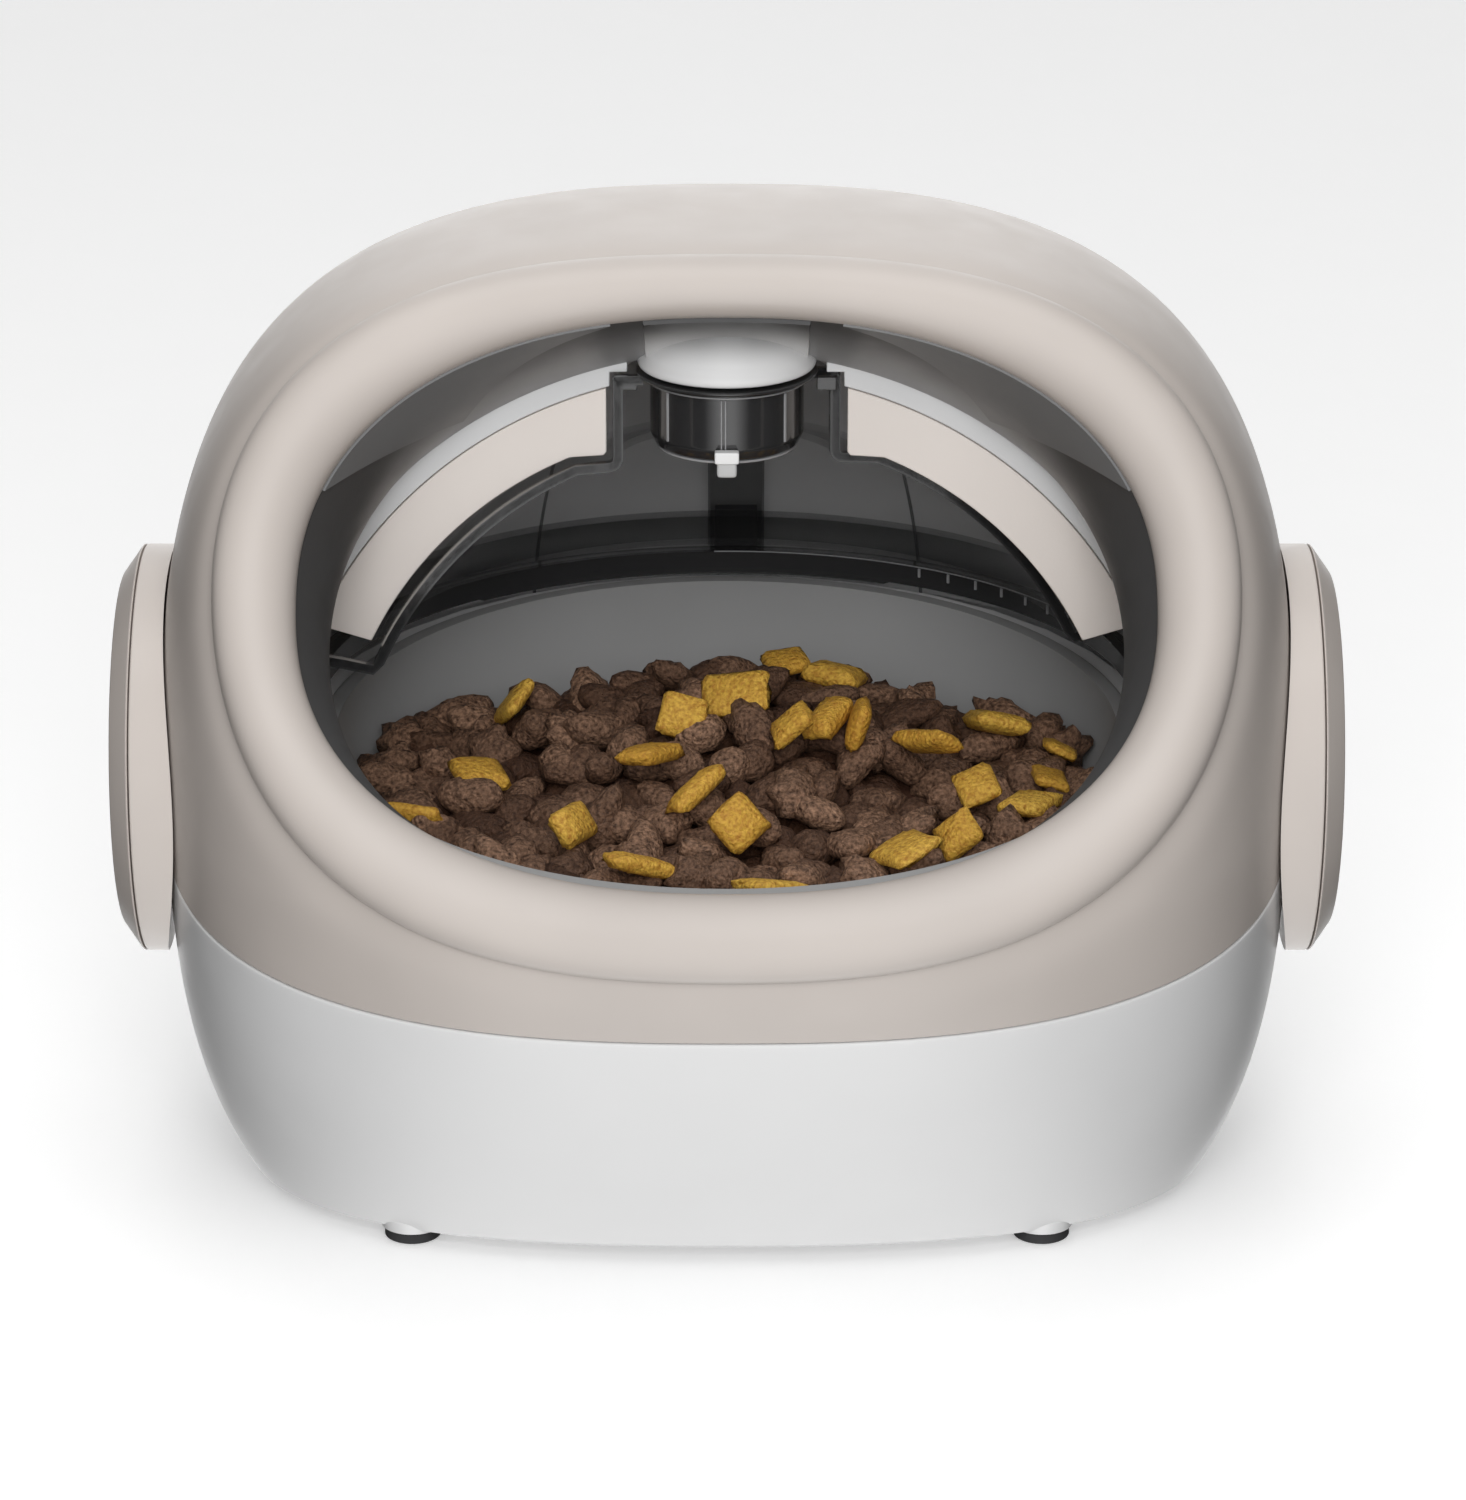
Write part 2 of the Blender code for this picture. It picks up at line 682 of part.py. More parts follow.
def make_hub():
    """The cup under the housing, its pin, and the axle with its gear."""
    inside = CUP_RADIUS - 0.0016
    profile = [
        (inside, CUP_TOP_Z),
        (0.0246, CUP_TOP_Z),
        (0.0246, CUP_TOP_Z - 0.0009),
        (CUP_RADIUS, CUP_TOP_Z - 0.0013),
        (CUP_RADIUS, CUP_FOOT_Z + 0.0040),
        (CUP_RADIUS - 0.0012, CUP_FOOT_Z + 0.0012),
        (CUP_RADIUS - 0.0040, CUP_FOOT_Z),
        (0.0, CUP_FOOT_Z),
        (0.0, CUP_FOOT_Z + 0.0016),
        (inside - 0.0026, CUP_FOOT_Z + 0.0016),
        (inside, CUP_FOOT_Z + 0.0042),
    ]
    closed_turn("hub_cup", profile, SMOKE, 24)
    block("hub_pin", (-0.0032, -0.0236, 0.1996), (0.0032, -0.0206, 0.2066), WHITE, 0.0006)
    round_bar("shutter_axle", AXLE_RADIUS, (0, 0, CUP_FOOT_Z + 0.0022), (0, 0, 0.2518), STEEL)
    make_gear("hub_gear", HUB_TEETH, math.pi / 2, AXLE_RADIUS + 0.0001)


def closed_turn(name, section, material, around):
    """A section that touches the axis at two points, turned a full turn."""
    mesh = bpy.data.meshes.new(name)
    count = len(section)
    edges = [(i, (i + 1) % count) for i in range(count)]
    axis_edge = [e for e in edges if section[e[0]][0] == 0.0 and section[e[1]][0] == 0.0]
    edges = [e for e in edges if e not in axis_edge]
    mesh.from_pydata([(r, 0.0, z) for r, z in section], edges, [])
    obj = put(bpy.data.objects.new(name, mesh), material)
    screw = obj.modifiers.new("turn", "SCREW")
    screw.steps = around
    screw.render_steps = around
    screw.use_merge_vertices = True
    screw.merge_threshold = 0.00001
    screw.use_smooth_shade = True
    return obj


def make_pinion():
    """The motor's pinion, in mesh with the hub gear at rest."""
    pinion = make_gear("drive_pinion", PINION_TEETH, -math.pi / 2 + math.pi / PINION_TEETH, 0.0)
    pinion.location = (0.0, PINION_Y, GEAR_Z + GEAR_THICKNESS / 2)


# ---------------------------------------------------------------- bowl and base

def bowl_inside():
    """The bowl's inner profile, from the lip's inner edge to the middle of its floor."""
    inner = BOWL_RADIUS - 0.0050
    points = []
    for angle in np.linspace(0.0, math.pi / 2, 7):
        r = inner * (0.52 + 0.48 * math.cos(angle) ** 0.8)
        z = -BOWL_DEPTH * math.sin(angle) ** 1.15
        points.append((r, z))
    return points


def make_bowl():
    inside = bowl_inside()
    lip = [(BOWL_RADIUS - 0.0008, 0.0), (BOWL_RADIUS, -0.0008), (BOWL_RADIUS, -0.0024)]
    outside = [(r + BOWL_WALL * 0.8, z - BOWL_WALL) for r, z in inside[1:]]
    lip.append((inside[0][0] + BOWL_WALL * 0.7, -0.0026))
    section = lip + outside + [(0.0, -BOWL_DEPTH - BOWL_WALL), (0.0, -BOWL_DEPTH)] + inside[::-1]
    bowl = closed_turn("bowl", section, BOWL_GREY, 36)
    bowl.location = (0.0, 0.0, BOWL_LIP_Z)
    bowl.rotation_euler = (BOWL_LEAN, 0.0, 0.0)


def make_bowl_well():
    """The tub that the bowl drops into, with a flange round its mouth."""
    out = BOWL_WALL + WELL_GAP
    inside = [(r + out, z - out) for r, z in bowl_inside()[1:]]
    flange = 0.1172
    top = -0.0029
    section = [(flange, top), (flange, top - 0.0022), (BOWL_RADIUS + 0.0006, top - 0.0024)]
    section += [(r + 0.0024, z - 0.0024) for r, z in inside]
    floor = inside[-1][1]
    section += [(0.0, floor - 0.0024), (0.0, floor)]
    section += inside[::-1]
    section += [(BOWL_RADIUS - 0.0022, top)]
    well = closed_turn("bowl_well", section, WHITE, 36)
    well.location = (0.0, 0.0, BOWL_LIP_Z)
    well.rotation_euler = (BOWL_LEAN, 0.0, 0.0)


def make_base_shell():
    angles = ring_angles()
    seam = seam_loop(angles, -0.00025)
    bottom = bottom_loop(angles, FLOOR_GAP)
    centre = np.array([0.0, MIDDLE_Y, 0.0950])
    rows = []
    for way in np.linspace(0.0, 1.0, 7):
        rows.append(on_body(centre, bottom * (1 - way) + seam * way))
    grid = np.array(rows)
    grid[0] = bottom
    grid[-1] = seam
    shell = sheet("base_shell", grid, WHITE, WALL, centre)
    for name, radius, x, z in (
        ("button_hole_left", BUTTON_RADIUS + 0.0004, -BUTTON_X, BUTTON_Z),
        ("button_hole_right", BUTTON_RADIUS + 0.0004, BUTTON_X, BUTTON_Z),
        ("light_hole", 0.0022, 0.0, BUTTON_Z),
        ("inlet_hole", 0.0062, *INLET),
    ):
        hole = round_bar(name, radius, (x, 0.115, z), (x, 0.150, z), BLACK, 24, cutters)
        cut(shell, name, hole)


def make_base_plate():
    """The flat bottom cover, with a window for the battery box and four screw holes."""
    angles = ring_angles(40)
    x = BOTTOM_HALF_WIDTH * signed_power(np.cos(angles), 2 / PLAN_POWER)
    y = MIDDLE_Y + BOTTOM_HALF_DEPTH * signed_power(np.sin(angles), 2 / PLAN_POWER)
    rows = [np.stack([x, y, np.full_like(x, z)], axis=-1) for z in (FLOOR_GAP, PLATE_TOP)]
    plate = loft("base_plate", np.array(rows), WHITE)
    window = block("battery_window", (-0.0540, -0.0260, 0.0), (0.0540, 0.0260, 0.010), BLACK, 0.0, cutters)
    cut(plate, "battery_window", window)
    for number, (sx, sy) in enumerate(((-1, -1), (1, -1), (-1, 1), (1, 1)), start=1):
        place = (sx * SCREW_X, sy * SCREW_Y)
        low = (*place, 0.0)
        high = (*place, 0.010)
        hole = round_bar(f"screw_hole_{number}", SCREW_RADIUS + 0.0004, low, high, BLACK, 16, cutters)
        cut(plate, f"screw_hole_{number}", hole)
        screw_profile = [
            (0.0, SCREW_TOP),
            (SCREW_RADIUS, SCREW_TOP),
            (SCREW_RADIUS, FLOOR_GAP - GAP),
            (SCREW_HEAD_RADIUS, FLOOR_GAP - GAP),
            (SCREW_HEAD_RADIUS - 0.0006, FLOOR_GAP - 0.0018),
            (0.0, FLOOR_GAP - 0.0018),
        ]
        screw = closed_turn(f"plate_screw_{number}", screw_profile, STEEL, 12)
        screw.location = (*place, 0.0)
        foot_profile = [
            (0.0, FLOOR_GAP - GAP),
            (FOOT_RADIUS - 0.0006, FLOOR_GAP - GAP),
            (FOOT_RADIUS, FLOOR_GAP - 0.0010),
            (FOOT_RADIUS, 0.0006),
            (FOOT_RADIUS - 0.0006, 0.0),
            (0.0, 0.0),
        ]
        foot = closed_turn(f"foot_{number}", foot_profile, RUBBER, 16)
        foot.location = (sx * FOOT_X, sy * FOOT_Y, 0.0)


def make_batteries():
    """The battery box, its four cells and the sliding door below it."""
    low_z = PLATE_TOP + GAP
    box = block("battery_box", (-0.0560, -0.0280, low_z), (0.0560, 0.0280, 0.0375), BLACK)
    hollow = block("box_hollow", (-0.0542, -0.0262, 0.0), (0.0542, 0.0262, 0.0358), BLACK, 0.0, cutters)
    cut(box, "box_hollow", hollow)
    for number in range(4):
        x = (number - 1.5) * 0.0268
        z = low_z + CELL_RADIUS + 0.0006
        reach = CELL_LENGTH / 2
        round_bar(f"battery_{number + 1}", CELL_RADIUS, (x, -reach, z), (x, reach, z), CELL_BLUE, 20)
    low = (-DOOR_HALF_WIDTH, -DOOR_HALF_DEPTH, 0.0022)
    high = (DOOR_HALF_WIDTH, DOOR_HALF_DEPTH, FLOOR_GAP - GAP)
    block("battery_door", low, high, WHITE, 0.0006)


def make_controls():
    """Two push buttons, a status light and the power inlet, through the back of the base."""
    for name, side in (("power_button", -1), ("pairing_button", 1)):
        x = side * BUTTON_X
        round_bar(name, BUTTON_RADIUS, (x, 0.1300, BUTTON_Z), (x, 0.1356, BUTTON_Z), BLACK)
    round_bar("status_light", 0.0018, (0, 0.1300, BUTTON_Z), (0, 0.1352, BUTTON_Z), LENS, 16)
    block("button_board", (-0.0260, 0.1250, 0.0940), (0.0260, 0.1264, 0.1070), BOARD_GREEN)
    profile = [(0.0056, 0.0), (0.0056, -0.0130), (0.0030, -0.0130), (0.0030, 0.0)]
    inlet = turned("power_inlet", profile, BLACK, around=24)
    inlet.location = (INLET[0], 0.1292, INLET[1])
    inlet.rotation_euler = (-math.pi / 2, 0.0, 0.0)
    block("circuit_board", (-0.0450, 0.0340, 0.0140), (0.0450, 0.0640, 0.0156), BOARD_GREEN)
    block("reader_module", (-0.0200, 0.0400, 0.0159), (0.0100, 0.0580, 0.0190), BLACK, 0.0003)
    block("base_contact", (-0.0100, 0.1300, 0.1145), (0.0100, 0.1318, 0.1240), BLACK, 0.0004)


def make_base():
    make_base_shell()
    make_base_plate()
    make_batteries()
    make_bowl_well()
    make_controls()
    for number, (x, y, top) in enumerate(POSTS, start=1):
        foot = (x, y, PLATE_TOP + GAP)
        round_bar(f"well_post_{number}", POST_RADIUS, foot, (x, y, top), WHITE, 16)


make_cover()
make_shutter()
make_hub()
make_pinion()
make_bowl()
make_base()
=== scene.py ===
# %% [markdown]
# # An automatic pet feeder
# A helmet-shaped feeder: a white base with a bowl, a greige cover with a big round-cornered opening, and a
# smoked half dome inside the cover that turns about a hub to open or close the bowl. The CAD frame already
# has every part at its real size, so this lesson only gives each part its fine surface and its finish.

# %% Load the frame
import math

import bmesh
import bpy
import numpy as np
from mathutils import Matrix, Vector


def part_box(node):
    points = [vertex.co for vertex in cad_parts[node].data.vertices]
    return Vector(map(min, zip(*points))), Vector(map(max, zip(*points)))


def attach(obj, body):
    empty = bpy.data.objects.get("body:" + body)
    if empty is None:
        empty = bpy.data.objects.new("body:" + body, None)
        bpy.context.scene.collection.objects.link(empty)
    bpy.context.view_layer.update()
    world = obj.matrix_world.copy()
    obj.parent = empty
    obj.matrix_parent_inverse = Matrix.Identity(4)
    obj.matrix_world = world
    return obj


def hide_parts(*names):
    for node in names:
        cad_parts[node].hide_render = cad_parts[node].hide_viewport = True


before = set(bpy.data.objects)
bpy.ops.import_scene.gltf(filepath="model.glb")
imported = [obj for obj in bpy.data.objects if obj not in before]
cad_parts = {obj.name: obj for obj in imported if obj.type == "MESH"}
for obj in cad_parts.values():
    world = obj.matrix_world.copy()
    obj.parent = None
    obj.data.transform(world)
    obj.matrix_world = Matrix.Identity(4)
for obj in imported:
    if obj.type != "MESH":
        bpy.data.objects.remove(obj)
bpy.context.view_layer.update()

# %% [markdown]
# ## The camera
# A long lens from a little above flattens the perspective, as in a catalogue picture. The camera looks
# along +Y and down by its lift angle, so its place follows from the point it aims at, the angle and the
# distance.

# %% Camera
CAMERA_AIM = np.array([0.0016, 0.0046, 0.1137])
CAMERA_LIFT = math.radians(20.5)
CAMERA_AWAY = 1.5532
CAMERA_LENS = 137.96

camera_data = bpy.data.cameras.new("camera")
camera_data.lens = CAMERA_LENS
camera_data.sensor_width = 36.0
camera = bpy.data.objects.new("camera", camera_data)
camera.location = CAMERA_AIM + CAMERA_AWAY * np.array([0.0, -math.cos(CAMERA_LIFT), math.sin(CAMERA_LIFT)])
camera.rotation_euler = (math.pi / 2 - CAMERA_LIFT, 0.0, 0.0)
bpy.context.scene.collection.objects.link(camera)
bpy.context.scene.camera = camera
bpy.context.scene.view_settings.view_transform = "Standard"
print("camera at", [round(value, 3) for value in camera.location])

# %% [markdown]
# ## Putting arrays into meshes
# Every new piece is a grid of points worked out by numpy in one go. Small helpers turn such a grid into a
# closed mesh: they number the quads of a grid, join two edges with a strip, merge the points that meet at
# seams and poles, and turn all faces outwards. A skin is one closed grid, and a walled piece is two grids
# with a rim between them.

# %% Mesh helpers
MERGE = 0.000002


def unit(vectors):
    """The vectors at length 1."""
    return vectors / np.linalg.norm(vectors, axis=-1, keepdims=True)


def patch(number):
    """The quads of a grid of point numbers: each joins a point to its neighbours in its row and the next."""
    corners = (number[:-1, :-1], number[:-1, 1:], number[1:, 1:], number[1:, :-1])
    return np.stack(corners, axis=-1).reshape(-1, 4)


def strip(first, second):
    """The quads between two lines of point numbers of the same length."""
    return patch(np.stack([first, second]))


def mended(mesh):
    """Merges the points that meet and turns the faces outwards; gives how many edges don't join two faces."""
    shape = bmesh.new()
    shape.from_mesh(mesh)
    bmesh.ops.remove_doubles(shape, verts=shape.verts, dist=MERGE)
    bmesh.ops.recalc_face_normals(shape, faces=shape.faces)
    if shape.calc_volume(signed=True) < 0:
        bmesh.ops.reverse_faces(shape, faces=shape.faces)
    open_edges = sum(len(edge.link_faces) != 2 for edge in shape.edges)
    shape.to_mesh(mesh)
    shape.free()
    mesh.shade_smooth()
    return open_edges


def placed(name, mesh):
    """An object at the origin that shows the mesh."""
    piece = bpy.data.objects.new(name, mesh)
    bpy.context.scene.collection.objects.link(piece)
    return piece


def solid(name, points, faces, sharp=40.0):
    """A smooth-shaded closed piece, with edges over that many degrees kept crisp."""
    mesh = bpy.data.meshes.new(name)
    mesh.from_pydata(points.reshape(-1, 3), [], faces)
    open_edges = mended(mesh)
    mesh.set_sharp_from_angle(angle=math.radians(sharp))
    print(f"{name}: {len(mesh.polygons)} faces, {open_edges} open edges")
    return placed(name, mesh)


def skin(name, grid, wrap_rows=False, wrap_columns=True, cap=False, sharp=40.0):
    """A solid from one grid. A wrapped side joins its last line to its first; cap closes the open ends."""
    rows, columns = grid.shape[:2]
    number = np.arange(rows * columns).reshape(rows, columns)
    ends = []
    if cap:
        ends = [number[0], number[-1]] if wrap_columns else [number[:, 0], number[:, -1]]
    if wrap_rows:
        number = np.concatenate([number, number[:1]])
    if wrap_columns:
        number = np.concatenate([number, number[:, :1]], axis=1)
    faces = patch(number).tolist() + [end.tolist() for end in ends]
    return solid(name, grid, faces, sharp)


def walled(name, outer, inner, wrap=False, sharp=40.0):
    """A sheet with a thickness: two grids, one each side, joined all round their edges."""
    rows, columns = outer.shape[:2]
    front = np.arange(rows * columns).reshape(rows, columns)
    if wrap:
        front = np.concatenate([front, front[:, :1]], axis=1)
    back = front + rows * columns
    faces = [patch(front), patch(back), strip(front[0], back[0]), strip(front[-1], back[-1])]
    if not wrap:
        faces += [strip(front[:, 0], back[:, 0]), strip(front[:, -1], back[:, -1])]
    return solid(name, np.stack([outer, inner]), np.concatenate(faces).tolist(), sharp)


# %% [markdown]
# A turned piece is a profile carried round an axis. Real mouldings have no knife edges, so each corner of a
# profile is first rounded: the corner gives way to a short curve that starts and ends a little way along
# its two sides.

# %% Profiles and turning
def softened(points, reach, steps=5):
    """A line of points, each inner corner swapped for a quadratic curve that reaches that far each way."""
    points = np.array(points, float)
    before = points[:-2] - points[1:-1]
    after = points[2:] - points[1:-1]
    before_length = np.linalg.norm(before, axis=1, keepdims=True)
    after_length = np.linalg.norm(after, axis=1, keepdims=True)
    starts = points[1:-1] + before / before_length * np.minimum(reach, before_length * 0.45)
    stops = points[1:-1] + after / after_length * np.minimum(reach, after_length * 0.45)
    way = np.linspace(0.0, 1.0, steps)[None, :, None]
    corners = points[1:-1, None]
    curves = starts[:, None] * (1 - way) ** 2 + corners * 2 * way * (1 - way) + stops[:, None] * way**2
    return np.concatenate([points[:1], curves.reshape(-1, points.shape[1]), points[-1:]])


def turned_grid(profile, angles):
    """Each (radius, height) of the profile at each angle about the Z axis."""
    radius = profile[:, 0][:, None]
    height = np.broadcast_to(profile[:, 1][:, None], (len(profile), len(angles)))
    return np.stack([radius * np.cos(angles), radius * np.sin(angles), height], axis=-1)


def full_turn(count):
    """Angles of a whole turn, evenly spaced, the last one short of the first."""
    return np.linspace(0.0, 2 * math.pi, count, endpoint=False)


print("a softened corner has", len(softened([(0, 0), (1, 0), (1, 1)], 0.2)), "points")

# %% [markdown]
# ## Moulded plastic
# Injection-moulded plastic is never one flat colour. A fine spark-eroded grain breaks up the highlight, the
# colour drifts very slightly where the melt flowed, and handling polishes it unevenly. Three noises on
# Object coordinates give these: one feeds the bump, one the colour and one the roughness. What is the same
# all over is set on the shader's own sockets.

# %% Plastic materials
def node_tools(name):
    """A new material with its node tree, its shader and a line to Object coordinates."""
    material = bpy.data.materials.new(name)
    material.use_nodes = True
    tree = material.node_tree
    coordinates = tree.nodes.new("ShaderNodeTexCoord")
    return material, tree, tree.nodes["Principled BSDF"], coordinates.outputs["Object"]


def noise(tree, place, scale, detail=2.0):
    """A noise pattern, its scale in blobs a metre."""
    texture = tree.nodes.new("ShaderNodeTexNoise")
    texture.inputs["Scale"].default_value = scale
    texture.inputs["Detail"].default_value = detail
    tree.links.new(place, texture.inputs["Vector"])
    return texture.outputs["Fac"]


def spread(tree, value, low, high):
    """Stretches a noise's middle range to run from low to high."""
    ranged = tree.nodes.new("ShaderNodeMapRange")
    ranged.inputs["From Min"].default_value = 0.3
    ranged.inputs["From Max"].default_value = 0.7
    ranged.inputs["To Min"].default_value = low
    ranged.inputs["To Max"].default_value = high
    tree.links.new(value, ranged.inputs["Value"])
    return ranged.outputs["Result"]


def tinted(tree, value, first, second):
    """A colour between two, by a value."""
    mix = tree.nodes.new("ShaderNodeMix")
    mix.data_type = "RGBA"
    mix.inputs["A"].default_value = (*first, 1.0)
    mix.inputs["B"].default_value = (*second, 1.0)
    tree.links.new(value, mix.inputs["Factor"])
    return mix.outputs["Result"]


def bumped(tree, shader, height, depth, strength=0.5):
    """Feeds a height pattern, that many metres deep, to the shader's normal."""
    bump = tree.nodes.new("ShaderNodeBump")
    bump.inputs["Strength"].default_value = strength
    bump.inputs["Distance"].default_value = depth
    tree.links.new(height, bump.inputs["Height"])
    tree.links.new(bump.outputs["Normal"], shader.inputs["Normal"])


def plastic(name, colour, roughness, drift=0.03, grain=1400.0, depth=0.00004, coat=0.0, metal=0.0, clear=1.0):
    """Moulded plastic or plain metal: grain in the bump, a slow drift in the colour, a patchy roughness."""
    material, tree, shader, place = node_tools(name)
    colour = np.array(colour)
    slow = spread(tree, noise(tree, place, 22.0), 0.0, 1.0)
    tint = tinted(tree, slow, tuple(colour * (1 - drift)), tuple(np.minimum(colour * (1 + drift), 1.0)))
    tree.links.new(tint, shader.inputs["Base Color"])
    patchy = spread(tree, noise(tree, place, 90.0, 4.0), roughness * 0.88, min(roughness * 1.12, 1.0))
    tree.links.new(patchy, shader.inputs["Roughness"])
    bumped(tree, shader, noise(tree, place, grain), depth)
    shader.inputs["Coat Weight"].default_value = coat
    shader.inputs["Coat Roughness"].default_value = 0.25
    shader.inputs["Metallic"].default_value = metal
    shader.inputs["Alpha"].default_value = clear
    return material


greige = plastic("greige_plastic", (0.60, 0.545, 0.505), 0.42, coat=0.15, depth=0.000015)
greige_flat = plastic("greige_matte", (0.88, 0.815, 0.765), 0.7)
white = plastic("white_plastic", (0.84, 0.84, 0.84), 0.34, drift=0.01, coat=0.2, depth=0.000008)
trim_grey = plastic("trim_grey", (0.74, 0.745, 0.75), 0.5)
dome_grey = plastic("dome_grey", (0.74, 0.74, 0.745), 0.5)
panel_grey = plastic("panel_grey", (0.20, 0.202, 0.205), 0.4)
smoke = plastic("smoked_clear", (0.030, 0.030, 0.031), 0.06, depth=0.000004, coat=0.3, clear=0.16)
smoke_edge = plastic("smoked_edge", (0.036, 0.036, 0.037), 0.08, depth=0.000004, coat=0.6, clear=0.93)
# Pale clear plastic for the painted highlights on the smoked parts, and for the ring's ticks.
highlight_and_tick_clear = plastic("highlight_and_tick_clear", (0.42, 0.42, 0.43), 0.12, depth=0.000004, coat=0.5, clear=0.8)
bowl_grey = plastic("bowl_grey", (0.36, 0.36, 0.36), 0.6)
rubber = plastic("foot_rubber", (0.045, 0.045, 0.047), 0.85, drift=0.15, grain=900.0, depth=0.0001)
black = plastic("black_plastic", (0.026, 0.026, 0.028), 0.5)
acetal = plastic("gear_acetal", (0.78, 0.77, 0.72), 0.38)
steel = plastic("drawn_steel", (0.60, 0.60, 0.61), 0.32, metal=1.0)
copper = plastic("enamelled_copper", (0.62, 0.27, 0.12), 0.3, metal=1.0, grain=2500.0)
lens = plastic("light_lens", (0.45, 0.85, 0.60), 0.12, coat=0.5)
print(len(bpy.data.materials), "materials so far")

# %% [markdown]
# ## Seating a piece
# Each piece takes its finish, rides on the CAD body it belongs to and, where it stands for CAD nodes, hides
# them. One helper says all this, so no step is forgotten.

# %% Seating helper
def seat(piece, body, slot_name, material, *stands_for):
    """Paints a piece, puts it on its body, and hides the CAD nodes that it stands for; slot_name is not used.
    """
    piece.data.materials.clear()
    piece.data.materials.append(material)
    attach(piece, body)
    if stands_for:
        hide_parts(*stands_for)
    return piece


# %% [markdown]
# ## The body's form
# Cover and base are one smooth form, cut in two. At each height its outline is a superellipse, a shape
# between an ellipse and a rectangle, and two power curves say how wide and how deep it is there. With one
# number, the fullness, under 1 inside and over 1 outside, any ray from within can be followed until it
# leaves the body.

# %% Body form
HALF_WIDTH, HALF_DEPTH, MIDDLE_Y, WAIST_Z = 0.1500, 0.1362, 0.0005, 0.1148
ABOVE_WAIST, BELOW_WAIST = 0.1463, 0.1665
ABOVE_POWERS, BELOW_POWERS, PLAN_POWER = (2.99, 2.93), (2.81, 1.44), 2.53
FLOOR_GAP, WALL = 0.0045, 0.0028


def shares(z):
    """Width and depth at height z, as shares of the widest: (1 - t^p)^(1/p), t the way to the top or foot."""
    above = np.clip((z - WAIST_Z) / ABOVE_WAIST, 0.0, 1.0)
    below = np.clip((WAIST_Z - z) / BELOW_WAIST, 0.0, 1.0)

    def curve(way, power):
        return np.clip(1 - way**power, 1e-9, 1.0) ** (1 / power)

    pairs = zip(ABOVE_POWERS, BELOW_POWERS)
    return [np.where(z > WAIST_Z, curve(above, up), curve(below, down)) for up, down in pairs]


def fullness(points):
    """|x / half width|^p + |y / half depth|^p at the point's height."""
    wide, deep = shares(points[..., 2])
    across = np.abs(points[..., 0]) / (HALF_WIDTH * wide)
    along = np.abs(points[..., 1] - MIDDLE_Y) / (HALF_DEPTH * deep)
    return across**PLAN_POWER + along**PLAN_POWER


def on_body(centre, aims):
    """Where rays from the centre through the aims leave the body, found by halving the stretch in doubt."""
    ways = unit(aims - centre)
    near = np.zeros(ways.shape[:-1])
    far = np.full(ways.shape[:-1], 0.4)
    for _ in range(36):
        middle = (near + far) / 2
        outside = fullness(centre + ways * middle[..., None]) > 1
        far = np.where(outside, middle, far)
        near = np.where(outside, near, middle)
    return centre + ways * near[..., None]


def outward(points):
    """The surface's outward direction: how the fullness grows over a small step along each axis."""
    steps = np.eye(3) * 0.00002
    slope = np.stack([fullness(points + step) - fullness(points - step) for step in steps], axis=-1)
    return unit(slope)


print("half width at 200 mm up:", round(float(HALF_WIDTH * shares(np.array(0.2))[0]), 4))

# %% [markdown]
# The seam and the opening are closed loops on the body. The seam lies on a plane that rises to the back.
# The opening is a superellipse on a plane that leans back, its two sides swept a little backwards.

# %% Loops on the body
SEAM_Z, SEAM_SLOPE = 0.1043, 0.16
LEAN = math.radians(31.7)
OPENING_MIDDLE = np.array([0.0, -0.0766, 0.1838])
OPENING_HALF_WIDTH, OPENING_HALF_HEIGHT, OPENING_POWER, SIDE_SWEEP = 0.1290, 0.0945, 2.3, 0.0055
RIM_WIDTH, RIM_HEIGHT = 0.0190, 0.0092
FORWARD = np.array([0.0, -math.cos(LEAN), math.sin(LEAN)])
UPWARD = np.array([0.0, math.sin(LEAN), math.cos(LEAN)])
BODY_CENTRE = np.array([0.0, 0.0, 0.1150])
SEAM_ROUND, SEAM_LIFT = 0.0007, 0.00025


def signed_power(values, power):
    """Each value's size raised to a power, keeping its sign."""
    return np.sign(values) * np.abs(values) ** power


def seam_loop(angles, lift):
    """The body's outline on the seam plane, raised by lift."""
    centre = np.array([0.0, MIDDLE_Y, SEAM_Z + SEAM_SLOPE * MIDDLE_Y + lift])
    x = HALF_WIDTH * signed_power(np.cos(angles), 2 / PLAN_POWER)
    y = HALF_DEPTH * signed_power(np.sin(angles), 2 / PLAN_POWER)
    return on_body(centre, centre + np.stack([x, y, SEAM_SLOPE * y], axis=-1))


def opening_loop(angles, inset=0.0, back=0.0):
    """The opening's superellipse on its leaning plane, drawn in by inset and moved back."""
    x = (OPENING_HALF_WIDTH - inset) * signed_power(np.cos(angles), 2 / OPENING_POWER)
    up = (OPENING_HALF_HEIGHT - inset) * signed_power(np.sin(angles), 2 / OPENING_POWER)
    depth = back + SIDE_SWEEP * np.cos(angles) ** 2
    across = np.stack([x, np.zeros_like(x), np.zeros_like(x)], axis=-1)
    return OPENING_MIDDLE + across + up[..., None] * UPWARD - depth[..., None] * FORWARD


def even_angles(count):
    """Angles round a loop, from the front, gently crowded where a superellipse turns its corners."""
    turn = np.linspace(-math.pi / 2, 1.5 * math.pi, count, endpoint=False)
    return turn + 0.08 * np.sin(4 * turn)


print("opening top at", opening_loop(np.array([math.pi / 2])).round(4))

